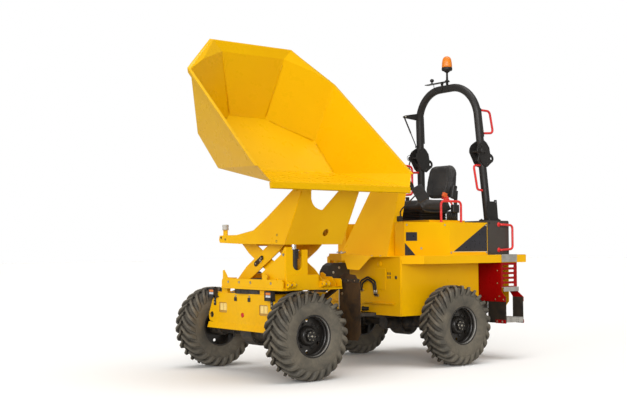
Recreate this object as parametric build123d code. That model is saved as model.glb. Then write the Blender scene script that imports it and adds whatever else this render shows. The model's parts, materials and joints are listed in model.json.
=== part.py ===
from build123d import *
import os
import numpy as np

# Swivel-skip site dumper, articulated in the middle. Millimetres.
# Machine axes: +X forward, +Y to the machine's left, +Z up, ground at Z = 0,
# X = 0 half way between the axles. Rest state: skip raised on its crossed arms,
# swivelled to the left and tipped.
os.makedirs("parts", exist_ok=True)

# ---------------------------------------------------------------- main sizes
TYRE_R = 422.5          # 11.5/80-15.3 tyre, outer radius
TYRE_HALF_W = 145.0
RIM_SEAT_R = 200.0
AXLE_Z = TYRE_R
AXLE_X = 994.0          # half wheelbase
WHEEL_Y = 813.5         # half track
SPINDLE_R = 30.0
PIVOT_X = -100.0        # centre pivot, behind the middle of the wheelbase
RUN = 0.05              # radial running clearance

# turntable
XT = 855.0
RING_R = 345.0
RING_Z0, RING_Z1 = 800.0, 843.0
BASE_Z0, BASE_Z1 = 848.0, 868.0
BASE_HALF_X = 362.0
BASE_Y0, BASE_Y1 = -325.0, 745.0
RAIL_Z1 = 950.0

# crossed lifting arms (seen along X)
PIV_Y = 585.0           # fixed pivots, low and high
LOW_Z, UP_Z = 925.0, 1345.0
ARM_RISE = 29.0         # degrees above level when raised
ARM_LOW = 12.0          # degrees when lowered
ARM_HALF = (UP_Z - LOW_Z) / 2 / np.sin(np.radians(ARM_RISE))
SLIDE_Y = PIV_Y - 2 * ARM_HALF * np.cos(np.radians(ARM_RISE))
SLIDE_Y_LOW = PIV_Y - 2 * ARM_HALF * np.cos(np.radians(ARM_LOW))
CROSS_Y = (PIV_Y + SLIDE_Y) / 2
CROSS_Z = (LOW_Z + UP_Z) / 2
LIFT_TRAVEL = 2 * ARM_HALF * (np.sin(np.radians(ARM_RISE)) - np.sin(np.radians(ARM_LOW)))
PIN_R = 20.0
A_X0, A_X1 = 219.0, 231.0     # arm A side plates, offset from XT
B_X0, B_X1 = 189.0, 201.0     # arm B side plates

# upper frame
SIDE_X0, SIDE_X1 = 329.0, 341.0
HINGE_Y, HINGE_Z = 950.0, 1815.0
HINGE_R = 22.0
FRONT_FOOT_Y, FRONT_FOOT_Z = 757.0, 1285.0
FRONT_TOP_Y, FRONT_TOP_Z = 1030.5, 1790.0

# skip, in its tipped rest state: name -> (y, z, half width about XT)
SKIP_WALL = 6.0
SKIP = {
    "lip":   (1235.0, 1838.0, 820.0),
    "m0":    (1150.0, 1981.0, 912.0),
    "m1":    (-30.0, 3016.0, 890.0),
    "m2":    (-262.0, 3388.0, 498.0),
    "bend":  (-252.0, 3270.0, 390.0),
    "rear":  (-382.0, 2632.0, 226.0),
    "side":  (-161.0, 2400.6, 729.0),
    "knee":  (190.0, 2033.0, 713.0),
}
RIM_DEEP, RIM_OUT = 48.0, 30.0

# tip ram
TIP_E = (680.0, 1890.0)       # rod eye on the skip
TIP_G = (720.0, 1325.0)       # barrel foot on the upper frame
# lift rams
LIFT_X = 183.0
LIFT_Y = 686.0
LIFT_EYE_Z = 1530.0

# rear unit
NOSE_Z1 = 1190.0
BODY_FRONT_X = -400.0
BODY_HALF_Y = 620.0
BODY_Z0, BODY_Z1 = 530.0, 1150.0
DECK_Z = 1160.0
DECK_HALF_Y = 800.0
DECK_X1 = -2149.0
DECK_FLANGE = 85.0
POD_Z1 = 1520.0

# roll-over bar
ROPS_R = 44.45
ROPS_X = -1757.0
ROPS_KNEE_Z = 2330.0
ROPS_LEAN = 4.0
ROPS_HALF_KNEE, ROPS_HALF_TOP, ROPS_HALF_FOOT = 500.0, 462.0, 540.0
ROPS_TOP_Z = 3113.0
ROPS_BEND_R = 380.0

# steps under the deck's rear corners
STEP_X0, STEP_X1 = -1742.0, -1990.0


# ---------------------------------------------------------------- helpers
def box(x0, x1, y0, y1, z0, z1):
    x0, x1 = sorted((x0, x1)); y0, y1 = sorted((y0, y1)); z0, z1 = sorted((z0, z1))
    return Pos((x0 + x1) / 2, (y0 + y1) / 2, (z0 + z1) / 2) * Box(x1 - x0, y1 - y0, z1 - z0)


def cyl(axis, r, a, b, lo, hi):
    c = Cylinder(r, abs(hi - lo))
    m = (lo + hi) / 2
    if axis == "x":
        return Pos(m, a, b) * (Rot(0, 90, 0) * c)
    if axis == "y":
        return Pos(a, m, b) * (Rot(90, 0, 0) * c)
    return Pos(a, b, m) * c


def rod(p, q, r):
    p, q = Vector(*p), Vector(*q)
    return Solid.make_cylinder(r, (q - p).length, Plane(origin=p, z_dir=(q - p).normalized()))


def prism(axis, pts, lo, hi):
    lo, hi = sorted((lo, hi))
    if axis == "x":
        w = Wire.make_polygon([Vector(lo, a, b) for a, b in pts], close=True)
        d = Vector(hi - lo, 0, 0)
    elif axis == "y":
        w = Wire.make_polygon([Vector(a, lo, b) for a, b in pts], close=True)
        d = Vector(0, hi - lo, 0)
    else:
        w = Wire.make_polygon([Vector(a, b, lo) for a, b in pts], close=True)
        d = Vector(0, 0, hi - lo)
    s = Solid.extrude(Face(w), d)
    return s if s.volume > 0 else Solid(s.wrapped.Reversed())


def poly(verts, faces):
    fs = [Face(Wire.make_polygon([Vector(*verts[i]) for i in f], close=True)) for f in faces]
    s = Solid(Shell(fs))
    if s.volume < 0:
        s = Solid(s.wrapped.Reversed())
    return s


def fuse(*s):
    out = s[0]
    for t in s[1:]:
        out = out + t
    return out


def mirror_y(s):
    return s.mirror(Plane.XZ)


def both(s):
    return fuse(s, mirror_y(s))


def tube_path(pts, radii, r):
    path = FilletPolyline(*pts, radius=radii)
    p0, p1 = Vector(*pts[0]), Vector(*pts[1])
    prof = Plane(origin=p0, z_dir=(p1 - p0).normalized()) * Circle(r)
    return sweep(prof, path=path)


nodes = {}


def put(name, *solids):
    nodes[name] = list(solids)


# ================================================================ wheels
def tyre_solid(cx, cy):
    half = [(0, TYRE_R), (92, TYRE_R - 3), (120, 408), (137, 384), (TYRE_HALF_W, 345),
            (TYRE_HALF_W, 300), (134, 244), (115, 218), (115, RIM_SEAT_R)]
    pts = [(y, r) for y, r in half] + [(-y, r) for y, r in reversed(half[1:])]
    w = Wire.make_polygon([Vector(0, y, r) for y, r in pts], close=True)
    s = Solid.revolve(Face(w), 360, Axis((0, 0, 0), (0, 1, 0)))
    return Pos(cx, cy, AXLE_Z) * s


def rim_solid(cx, cy, side):
    rz = RIM_SEAT_R
    b = cyl("y", rz, 0, 0, -122, 122) - cyl("y", rz - 12, 0, 0, -123, 123)
    for s in (-1, 1):
        b = b + (cyl("y", 214, 0, 0, s * 116, s * 122) - cyl("y", rz - 12, 0, 0, s * 110, s * 125))
    disc = cyl("y", rz - 12, 0, 0, 4, 14) - cyl("y", 90, 0, 0, -1, 20)
    cone = cyl("y", 96, 0, 0, 4, 34)
    hub = cyl("y", 68, 0, 0, -22, 62)
    cap = cyl("y", 48, 0, 0, 62, 84)
    body = fuse(b, disc, cone, hub, cap) - cyl("y", SPINDLE_R + RUN, 0, 0, -30, 52)
    for k in range(6):
        a = np.radians(60 * k + 30)
        body = body - cyl("y", 17, 150 * np.cos(a), 150 * np.sin(a), -2, 20)
    if side < 0:
        body = mirror_y(body)
    return Pos(cx, cy, AXLE_Z) * body


WHEELS = [  # name, x sign, y sign
    ("front_left", 1, 1), ("front_right", 1, -1), ("rear_left", -1, 1), ("rear_right", -1, -1)]
for name, sx, sy in WHEELS:
    put(f"{name}_tyre", tyre_solid(sx * AXLE_X, sy * WHEEL_Y))
    put(f"{name}_rim", rim_solid(sx * AXLE_X, sy * WHEEL_Y, sy))


def axle(sx, mount_z):
    x = sx * AXLE_X
    a = fuse(cyl("y", 58, x, AXLE_Z, -700, 700), cyl("y", 145, x, AXLE_Z, -95, 95))
    a = a + cyl("x", 72, 0, AXLE_Z, x - sx * 300, x)
    for s in (-1, 1):
        a = fuse(a, cyl("y", 92, x, AXLE_Z, s * 690, s * 776), cyl("y", SPINDLE_R, x, AXLE_Z, s * 776, s * 862))
        a = a + box(x - 70, x + 70, s * 240, s * 330, AXLE_Z, mount_z)
    return a


put("front_axle", axle(1, 520.0))
put("rear_axle", axle(-1, 500.0))

# ================================================================ front unit
fr = fuse(both(box(330, 1095, 300, 320, 520, 790)),
          box(330, 350, -320, 320, 520, 790),
          box(640, 660, -300, 300, 600, 790))
top = prism("z", [(400, -420), (1165, -512), (1165, 512), (400, 420)], 790, 800)
stops = [box(1125, 1165, s * 295, s * 395, 800, 842) for s in (-1, 1)]
put("front_frame", fuse(fr, top, *stops))

LAMP_Y, LAMP_Z, LAMP_HW, LAMP_HH = 366.0, 648.0, 76.0, 53.0
FACE = [(525, 800), (632, 590), (638, 548), (630, 515), (612, 500), (560, 495), (560, 490), (641, 490), (641, 484)]   # (y, z)
bp = prism("x", FACE + [(-y, z) for y, z in reversed(FACE)], 1165, 1173)
bp = bp + prism("y", [(1165, 484), (1165, 492), (1173, 492), (1192, 434), (1184, 430), (1168, 484)], -641, 641)
bp = bp + both(prism("x", [(514, 800), (525, 800), (632, 590), (632, 508), (624, 508), (624, 587)], 1060, 1165))


def lamp_box(s, x0, x1, gap, r):
    b = box(x0, x1, s * (LAMP_Y - LAMP_HW + gap), s * (LAMP_Y + LAMP_HW - gap), LAMP_Z - LAMP_HH + gap, LAMP_Z + LAMP_HH - gap)
    return fillet(b.edges().filter_by(Axis.X), r)


for s in (-1, 1):
    bp = bp - lamp_box(s, 1160, 1180, 0, 20)
    bp = bp - cyl("x", 24, s * 575, 567, 1160, 1180)
bp = bp - cyl("x", 17, 0, 585, 1160, 1180)
put("front_bumper", bp)
put("headlamps", *[lamp_box(s, 1140, 1164, 4, 16) for s in (-1, 1)])
pans = [box(1100, 1140, s * (LAMP_Y - LAMP_HW - 6), s * (LAMP_Y + LAMP_HW + 6), LAMP_Z - LAMP_HH - 6, LAMP_Z + LAMP_HH + 6)
        + box(1140, 1165, s * (LAMP_Y - LAMP_HW - 6), s * (LAMP_Y + LAMP_HW + 6), LAMP_Z + LAMP_HH - 2, LAMP_Z + LAMP_HH + 6)
        for s in (-1, 1)]
IND_Y = 514.0
ind, lens = [], []
for s in (-1, 1):
    ind.append(fuse(box(1173, 1179, s * (IND_Y - 20), s * (IND_Y + 20), 665, 780), box(1179, 1212, s * (IND_Y - 58), s * (IND_Y + 58), 745, 842)))
    lens.append(box(1212, 1226, s * (IND_Y - 52), s * (IND_Y + 52), 798, 837))
put("lamp_brackets", *ind, *pans)
put("indicator_lenses", *lens)

# centre yoke of the front unit
def lug_plate(x_far, half_y, r, z0, z1, bore):
    s = fuse(cyl("z", r, PIVOT_X, 0, z0, z1), prism("z", [(PIVOT_X, -r), (x_far, -half_y), (x_far, half_y), (PIVOT_X, r)], z0, z1))
    return s - cyl("z", bore, PIVOT_X, 0, z0 - 1, z1 + 1)


# the head that carries the upper pivot bearing, on two webs
HEAD = [(-166, 900), (-166, 1035), (-148, 1072), (-112, 1090), (60, 1090), (110, 1062), (150, 1005), (160, 900)]   # (x, z)
yoke = prism("y", HEAD, -60, 60) - cyl("z", 30 + RUN, PIVOT_X, 0, 880, 1100)
yoke = yoke + both(prism("y", [(20, 900), (160, 900), (330, 790), (330, 595), (240, 595), (240, 740), (20, 870)], 42, 60))
yoke = yoke + lug_plate(330, 180, 92, 560, 595, 30 + RUN)
yoke = yoke + box(310, 330, -300, 300, 560, 780)
put("centre_yoke", yoke)
put("centre_pivot_pin", cyl("z", 30, PIVOT_X, 0, 500, 1196), cyl("z", 52, PIVOT_X, 0, 1196, 1206))

flap = []
for s in (-1, 1):
    pl = prism("x", [(s * 660, 420), (s * 700, 350), (s * 930, 350), (s * 975, 420), (s * 975, 900),
                     (s * 900, 985), (s * 740, 1000), (s * 660, 960)], 452, 460)
    flap.append(pl)
brk = [prism("x", [(s * 320, 690), (s * 320, 735), (s * 700, 935), (s * 700, 890)], 420, 452) for s in (-1, 1)]
put("mudflaps", *[fuse(f, b) for f, b in zip(flap, brk)])

put("turntable_ring", cyl("z", RING_R, XT, 0, RING_Z0, RING_Z1) - cyl("z", RING_R - 90, XT, 0, RING_Z0 - 1, RING_Z1 + 1))

# ================================================================ swivel base
base = box(XT - BASE_HALF_X, XT + BASE_HALF_X, BASE_Y0, BASE_Y1, BASE_Z0, BASE_Z1)
base = base - cyl("z", 120, XT, 0, BASE_Z0 - 1, BASE_Z1 + 1)
for s in (-1, 1):
    x0, x1 = XT + s * 345, XT + s * 357
    base = base + prism("x", [(BASE_Y0, BASE_Z1), (BASE_Y1, BASE_Z1), (BASE_Y1, RAIL_Z1 - 20), (BASE_Y1 - 20, RAIL_Z1),
                              (BASE_Y0 + 20, RAIL_Z1), (BASE_Y0, RAIL_Z1 - 20)], x0, x1)
    # guide rails for the sliding feet of arm A
    for zz in (LOW_Z - 33, LOW_Z + 22.5):
        base = base + box(XT + s * 300, XT + s * 345, SLIDE_Y_LOW - 45, SLIDE_Y + 45, zz, zz + 10.5)
    # horns that guide the upper frame as it comes down
    for horn in ([(-305, 900), (-305, 1030), (-285, 1034), (-232, 978), (-212, 940), (-212, 900)],
                 [(405, 900), (412, 1000), (440, 1008), (494, 986), (472, 940), (472, 900)]):
        base = base + prism("x", horn, XT + s * 347, XT + s * 357)
base = base + box(XT - 345, XT + 345, BASE_Y0, BASE_Y0 + 10, BASE_Z1, 900)
# front wall and the clevis ears on it
base = base + fuse(box(XT - 65, XT + 62, 725, 745, BASE_Z1, 997), box(XT - 200, XT - 65, 725, 745, BASE_Z1, 932), box(XT - 65, XT + 317, 745, 751, BASE_Z0 + 4, 997))
for ex in (-165, -110, 245, 300):
    y0 = 751 if ex > 0 else 745
    base = base + (fuse(box(XT + ex, XT + ex + 25, y0, 778, 877, 933), cyl("x", 28, 778, 905, XT + ex, XT + ex + 25)) - cyl("x", 11, 778, 905, XT + ex - 1, XT + ex + 26))
put("swivel_base", base)

# one lift tower, on the near side, and a low pivot lug on the far side
TOWER_X0, TOWER_X1 = 62.0, 317.0
tw = prism("x", [(340, BASE_Z1), (735, BASE_Z1), (735, 1262), (722, 1262), (660, 1190), (340, 1012)], XT + 305, XT + TOWER_X1)
tw = fuse(tw, box(XT + TOWER_X0, XT + TOWER_X1, 725, 745, BASE_Z1, 1236), box(XT + 245, XT + TOWER_X1, 725, 745, 1230, 1262))
tw = tw + prism("x", [(600, BASE_Z1), (735, BASE_Z1), (735, 1232), (690, 1232), (600, 1080)], XT + TOWER_X0, XT + TOWER_X0 + 12)
tw = tw - fuse(box(XT + LIFT_X - 55, XT + LIFT_X + 55, 700, 760, 1095, 1300), cyl("y", 55, XT + LIFT_X, 1095, 700, 760))
tw = tw + fuse(cyl("x", PIN_R, PIV_Y, LOW_Z, XT + 186, XT + 317), cyl("x", 34, PIV_Y, LOW_Z, XT + 317, XT + 340))
lug = prism("x", [(470, BASE_Z1), (700, BASE_Z1), (700, 905), (640, 968), (530, 968)], XT - 317, XT - 305)
lug = fuse(lug, cyl("x", PIN_R, PIV_Y, LOW_Z, XT - 317, XT - 186), cyl("x", 34, PIV_Y, LOW_Z, XT - 340, XT - 317))
put("lift_towers", tw, lug)

# lift ram: the barrel stands in the tower, its eye lifts the upper frame
cx = XT + LIFT_X
br = fuse(cyl("z", 36, cx, LIFT_Y, BASE_Z1, 1155), cyl("z", 46, cx, LIFT_Y, 1150, 1242))
br = br - cyl("z", 25 + RUN, cx, LIFT_Y, 1150, 1250) - cyl("z", 30, cx, LIFT_Y, 882, 1160)
put("lift_ram_barrel", br)
put("lift_ram_rod", fuse(cyl("z", 25, cx, LIFT_Y, 1145, LIFT_EYE_Z - 33), cyl("z", 29.9, cx, LIFT_Y, 1125, 1145), cyl("z", 15, cx, LIFT_Y, LIFT_EYE_Z - 40, LIFT_EYE_Z - 20),
                         cyl("x", 30, LIFT_Y, LIFT_EYE_Z, cx - 16, cx + 16)))

# ================================================================ arms
th = np.radians(ARM_RISE)
ud = (np.cos(th), np.sin(th))           # arm A, low-left to up-right


def along(origin, s, off, d, n):
    return (origin[0] + s * d[0] + off * n[0], origin[1] + s * d[1] + off * n[1])


# arm A: low-left sliding foot, up-right pivot
pA, qA = (SLIDE_Y, LOW_Z), (PIV_Y, UP_Z)
nA = (-ud[1], ud[0])
armA = []
for s in (-1, 1):
    x0, x1 = XT + s * A_X0, XT + s * A_X1
    pts = [along(pA, 0, 42, ud, nA), along(pA, 170, 70, ud, nA), along(pA, 2 * ARM_HALF - 120, 70, ud, nA), along(qA, 0, 55, ud, nA),
           along(qA, 0, -55, ud, nA), along(pA, 2 * ARM_HALF - 120, -70, ud, nA), along(pA, 170, -70, ud, nA), along(pA, 0, -42, ud, nA)]
    a = fuse(prism("x", pts, x0, x1), cyl("x", 42, *pA, x0, x1), cyl("x", 55, *qA, x0, x1))
    a = a - cyl("x", PIN_R + RUN, *qA, x0 - 20, x0 + 20)
    armA.append(a)
a0 = fuse(*armA)
# cross plate along the upper edge of the right half, cross tube near the foot
c0 = along(pA, ARM_HALF + 90, 60, ud, nA); c1 = along(pA, 2 * ARM_HALF - 95, 60, ud, nA)
c2 = along(pA, 2 * ARM_HALF - 95, 68, ud, nA); c3 = along(pA, ARM_HALF + 90, 68, ud, nA)
a0 = a0 + prism("x", [c0, c1, c2, c3], XT - A_X0, XT + A_X0)
f0 = along(pA, 95, 0, ud, nA)
a0 = a0 + cyl("x", 24, *f0, XT - A_X0, XT + A_X0)
for s in (-1, 1):
    a0 = a0 + fuse(cyl("x", 16, *pA, XT + s * A_X1, XT + s * 344), cyl("x", 22, *pA, XT + s * 302, XT + s * 343))
for s in (-1, 1):
    a0 = a0 + fuse(cyl("x", PIN_R, CROSS_Y, CROSS_Z, XT + s * (B_X0 - 4), XT + s * (A_X1 + 2)),
                   cyl("x", 30, CROSS_Y, CROSS_Z, XT + s * (A_X1), XT + s * (A_X1 + 8)))
put("lift_arm_a", a0)

# arm B: up-left sliding head, low-right pivot
vd = (ud[0], -ud[1])
pB, qB = (SLIDE_Y, UP_Z), (PIV_Y, LOW_Z)
nB = (ud[1], ud[0])
armB = []
for s in (-1, 1):
    x0, x1 = XT + s * B_X0, XT + s * B_X1
    pts = [along(pB, 0, 42, vd, nB), along(pB, 170, 70, vd, nB), along(pB, 2 * ARM_HALF - 120, 70, vd, nB), along(qB, 0, 50, vd, nB),
           along(qB, 0, -50, vd, nB), along(pB, 2 * ARM_HALF - 120, -70, vd, nB), along(pB, 170, -70, vd, nB), along(pB, 0, -42, vd, nB)]
    a = fuse(prism("x", pts, x0, x1), cyl("x", 42, *pB, x0, x1), cyl("x", 50, *qB, x0, x1))
    a = a - cyl("x", PIN_R + RUN, CROSS_Y, CROSS_Z, x0 - 20, x0 + 20) - cyl("x", PIN_R + RUN, *qB, x0 - 20, x0 + 20)
    armB.append(a)
b0 = fuse(*armB)
c0 = along(pB, ARM_HALF + 110, -60, vd, nB); c1 = along(pB, 2 * ARM_HALF - 95, -60, vd, nB)
c2 = along(pB, 2 * ARM_HALF - 95, -68, vd, nB); c3 = along(pB, ARM_HALF + 110, -68, vd, nB)
b0 = b0 + prism("x", [c0, c1, c2, c3], XT - B_X0, XT + B_X0)
f0 = along(pB, 95, 0, vd, nB)
b0 = b0 + cyl("x", 24, *f0, XT - B_X0, XT + B_X0)
for s in (-1, 1):
    b0 = b0 + fuse(cyl("x", 16, *pB, XT + s * B_X1, XT + s * 326), cyl("x", 22, *pB, XT + s * 302, XT + s * 326))
put("lift_arm_b", b0)


# ================================================================ upper frame
SIDE_PTS = [(-385, 1310), (-400, 1340), (-388, 1385), (-69, 1387), (231, 1429), (463, 1549), (784, 1736), (905, 1806),
            (980, 1790), (FRONT_TOP_Y, FRONT_TOP_Z), (FRONT_FOOT_Y, FRONT_FOOT_Z), (9, 1296)]
lean = (FRONT_TOP_Y - FRONT_FOOT_Y) / (FRONT_TOP_Z - FRONT_FOOT_Z)
up = None
for s in (-1, 1):
    x0, x1 = XT + s * SIDE_X0, XT + s * SIDE_X1
    pl = fuse(prism("x", SIDE_PTS, x0, x1), cyl("x", 45, HINGE_Y, HINGE_Z, x0, x1))
    pl = pl - cyl("x", HINGE_R + RUN, HINGE_Y, HINGE_Z, x0 - 20, x0 + 20)
    # guide rails for the sliding heads of arm B
    for zz in (UP_Z - 33, UP_Z + 22.5):
        pl = pl + box(XT + s * 300, x0, SLIDE_Y_LOW - 45, SLIDE_Y + 45, zz, zz + 10.5)
    # cheeks carrying the upper pivots
    ch = prism("x", [(530, 1300), (640, 1300), (650, 1500), (650, 1582), (520, 1582), (520, 1400)], XT + s * 245, XT + s * 257)
    pl = fuse(pl, ch, box(XT + s * 75, x0, 540, 880, 1570, 1582))
    # buffer post on the tongue
    pl = pl + fuse(box(x0, x1, -320, -250, 1380, 1440), cyl("z", 8, XT + s * 335, -285, 1438, 1450))
    up = pl if up is None else up + pl
# lugs for the lift ram
for lx in (LIFT_X - 30, LIFT_X + 20):
    up = up + prism("x", [(LIFT_Y - 32, 1502), (LIFT_Y + 32, 1502), (LIFT_Y + 48, 1575), (LIFT_Y - 48, 1575)], XT + lx, XT + lx + 10)
FT = 10.0
fpts = [(FRONT_FOOT_Y, FRONT_FOOT_Z), (FRONT_FOOT_Y + FT, FRONT_FOOT_Z), (FRONT_TOP_Y + FT, FRONT_TOP_Z), (FRONT_TOP_Y, FRONT_TOP_Z)]
fp = prism("x", fpts, XT - SIDE_X1, XT + SIDE_X1)
# U cut-out in the top of the front plate
ucut = prism("y", [(1092, 1900), (1087, 1776), (1060, 1709), (1027, 1668), (985, 1636), (940, 1619), (905, 1611), (880, 1614), (765, 1785), (690, 1900)], 850, 1100)   # (x, z)
fp = fp - ucut
fp = fp - cyl("y", 34, XT - 95, 1398, 700, 900)
up = up + fp
# foot lugs of the tip ram
for s in (-1, 1):
    g = fuse(prism("x", [(TIP_G[0] - 8, TIP_G[1] - 28), (FRONT_FOOT_Y + 12, TIP_G[1] - 28), (FRONT_FOOT_Y + lean * 80, FRONT_FOOT_Z + 80), (TIP_G[0], TIP_G[1] + 30)], XT + s * 44, XT + s * 54),
             cyl("x", 29, *TIP_G, XT + s * 44, XT + s * 54))
    up = up + g
for s in (-1, 1):
    up = up + fuse(cyl("x", PIN_R, PIV_Y, UP_Z, XT + s * 205, XT + s * 250), cyl("x", 28, PIV_Y, UP_Z, XT + s * 256, XT + s * 264))
up = up + cyl("x", 17.5, *TIP_G, XT - 50, XT + 50)
put("upper_frame", up)
put("skip_buffers", *[cyl("z", 30, XT + s * 335, -285, 1440, 1494) - cyl("z", 8, XT + s * 335, -285, 1439, 1450) for s in (-1, 1)])

# ================================================================ skip
def v3(key, s):
    y, z, h = SKIP[key]
    return np.array([XT + s * h, y, z])


KEYS = ["lip", "m0", "m1", "m2", "bend", "rear", "side", "knee"]
idx, P = {}, []
for k in KEYS:
    for s in (-1, 1):
        idx[(k, s)] = len(P)
        P.append(v3(k, s))
P = np.array(P)


def quad(a, b, c, d):
    return [[a, b, c], [a, c, d]]


I = lambda k, s: idx[(k, s)]
walls = []
walls += [[I("lip", -1), I("lip", 1), I("knee", 1), I("knee", -1)]]
walls += [[I("knee", -1), I("knee", 1), I("side", 1), I("side", -1)]]
walls += [[I("side", -1), I("side", 1), I("rear", 1), I("rear", -1)]]
walls += [[I("rear", -1), I("rear", 1), I("bend", 1), I("bend", -1)]]
walls += [[I("bend", -1), I("bend", 1), I("m2", 1), I("m2", -1)]]
for s in (-1, 1):
    walls += [[I("lip", s), I("m0", s), I("knee", s)]]
    walls += [[I("knee", s), I("m0", s), I("side", s)]]
    walls += [[I("side", s), I("m0", s), I("m1", s)]]
    walls += [[I("side", s), I("m1", s), I("rear", s)]]
    walls += [[I("rear", s), I("m1", s), I("bend", s)]]
    walls += [[I("bend", s), I("m1", s), I("m2", s)]]
lid = [[I("lip", -1), I("lip", 1), I("m0", 1), I("m0", -1)], [I("m0", -1), I("m0", 1), I("m1", 1), I("m1", -1)],
       [I("m1", -1), I("m1", 1), I("m2", 1), I("m2", -1)]]
CEN = np.array([XT, 200.0, 2500.0])


def normal(f, V):
    a, b, c = V[f[0]], V[f[1]], V[f[2]]
    n = np.cross(b - a, c - a)
    n /= np.linalg.norm(n)
    if np.dot(n, a - CEN) < 0:
        n = -n
    return n


disp = np.zeros_like(P)
for i in range(len(P)):
    ns = [normal(f, P) for f in walls if i in f]
    d, *_ = np.linalg.lstsq(np.array(ns), np.full(len(ns), SKIP_WALL), rcond=None)
    if np.linalg.norm(d) > 2.5 * SKIP_WALL:
        d *= 2.5 * SKIP_WALL / np.linalg.norm(d)
    disp[i] = d
OUT = P + disp
outer = poly(OUT, walls + lid)
INN = P.copy()
for k, low, f in (("m0", "knee", 0.06), ("m1", "side", 0.06), ("m2", "bend", 0.5), ("lip", "knee", 0.05)):
    for s in (-1, 1):
        INN[I(k, s)] = P[I(k, s)] + f * (P[I(k, s)] - P[I(low, s)])
inner = poly(INN, walls + lid)
skip = outer - inner

# folded rim round the mouth, one mitred strip
loop = [("m0", -1), ("m1", -1), ("m2", -1), ("m2", 1), ("m1", 1), ("m0", 1)]
mouth_n = {}
RV, RF = [], []
for j, (k, s) in enumerate(loop):
    p = OUT[I(k, s)]
    outw = {"m0": (s * 1.0, 0.15, -0.10), "m1": (s * 0.93, -0.30, 0.12), "m2": (s * 0.42, -0.88, 0.20)}[k]
    outw = np.array(outw) / np.linalg.norm(outw)
    # down the wall, away from the mouth
    low = {"m0": "knee", "m1": "side", "m2": "bend"}[k]
    dn = P[I(low, s)] - P[I(k, s)]
    if k == "m2":
        dn = np.array([0, 0.15, -1.0])
    dn = dn / np.linalg.norm(dn)
    a = p - 2 * outw
    b = p + RIM_OUT * outw
    RV += [a, b, b + RIM_DEEP * dn, a + (RIM_DEEP - 12) * dn]
n = len(loop)
for j in range(n - 1):
    for e in range(4):
        a, b = 4 * j + e, 4 * j + (e + 1) % 4
        c, d = 4 * (j + 1) + (e + 1) % 4, 4 * (j + 1) + e
        RF += [[a, b, c], [a, c, d]]
RF += [[0, 1, 2], [0, 2, 3], [4 * (n - 1), 4 * (n - 1) + 1, 4 * (n - 1) + 2], [4 * (n - 1), 4 * (n - 1) + 2, 4 * (n - 1) + 3]]
rim = poly(np.array(RV), RF)
skip = skip + rim
# lip bar, and the front corners that run from it up to the rim
ly, lz, lh = SKIP["lip"]
lipbar = prism("x", [(ly - 28, lz - 3), (ly + 4, lz - 2), (ly + 8, lz - 56), (ly - 4, lz - 62), (ly - 20, lz - 62), (ly - 30, lz - 12)], XT - lh - 8, XT + lh + 8)
skip = skip + lipbar
# hinge lugs and pins under the ramp, ram lugs
ramp = (SKIP["lip"][1] - SKIP["knee"][1]) / (SKIP["lip"][0] - SKIP["knee"][0])
rz = lambda y: SKIP["knee"][1] + (y - SKIP["knee"][0]) * ramp
for s in (-1, 1):
    lug = fuse(prism("x", [(HINGE_Y - 44, HINGE_Z), (HINGE_Y + 44, HINGE_Z), (HINGE_Y + 120, rz(HINGE_Y + 120) - 4), (HINGE_Y - 130, rz(HINGE_Y - 130) - 4)], XT + s * 300, XT + s * 314),
               cyl("x", 44, HINGE_Y, HINGE_Z, XT + s * 300, XT + s * 314))
    pin = fuse(cyl("x", HINGE_R, HINGE_Y, HINGE_Z, XT + s * 300, XT + s * 352), cyl("x", 32, HINGE_Y, HINGE_Z, XT + s * 346, XT + s * 356))
    ey, ez = TIP_E
    el = fuse(prism("x", [(ey - 32, ez), (ey + 32, ez), (ey + 75, rz(ey + 75) - 4), (ey - 95, rz(ey - 95) - 4)], XT + s * 34, XT + s * 44),
              cyl("x", 32, ey, ez, XT + s * 34, XT + s * 44), cyl("x", 20, ey, ez, XT + s * 44, XT + s * 56))
    skip = fuse(skip, lug, pin, el)
put("skip", skip)

# tip ram
g3 = np.array([XT, *TIP_G]); e3 = np.array([XT, *TIP_E])
u3 = (e3 - g3) / np.linalg.norm(e3 - g3)
at = lambda s: tuple(g3 + s * u3)
tb = fuse(cyl("x", 30, *TIP_G, XT - 37, XT + 37), rod(at(24), at(320), 38))
tb = tb - cyl("x", 17.5 + RUN, *TIP_G, XT - 60, XT + 60)
tb = tb - fuse(rod(at(295), at(330), 20 + RUN), rod(at(48), at(300), 30))
put("tip_ram_barrel", tb)
TIP_L = float(np.linalg.norm(e3 - g3))
put("tip_ram_rod", fuse(rod(at(262), at(TIP_L - 15), 20), rod(at(250), at(268), 29.9), cyl("x", 27, *TIP_E, XT - 26, XT + 26)))

# ================================================================ rear unit
fb = fuse(both(box(-2050, -404, 280, 300, 500, 640)), box(-424, -404, -300, 300, 500, 640), box(-1420, -1400, -300, 300, 500, 570),
          box(-2050, -2030, -300, 300, 500, 640), box(-700, -680, -300, 300, 500, 570))
lower_lug = fuse(cyl("z", 92, PIVOT_X, 0, 515, 550), prism("z", [(PIVOT_X, -92), (-410, -220), (-410, 220), (PIVOT_X, 92)], 515, 550))
fb = fuse(fb, lower_lug) - cyl("z", 30, PIVOT_X, 0, 510, 555)
put("rear_frame", fb)

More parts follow.
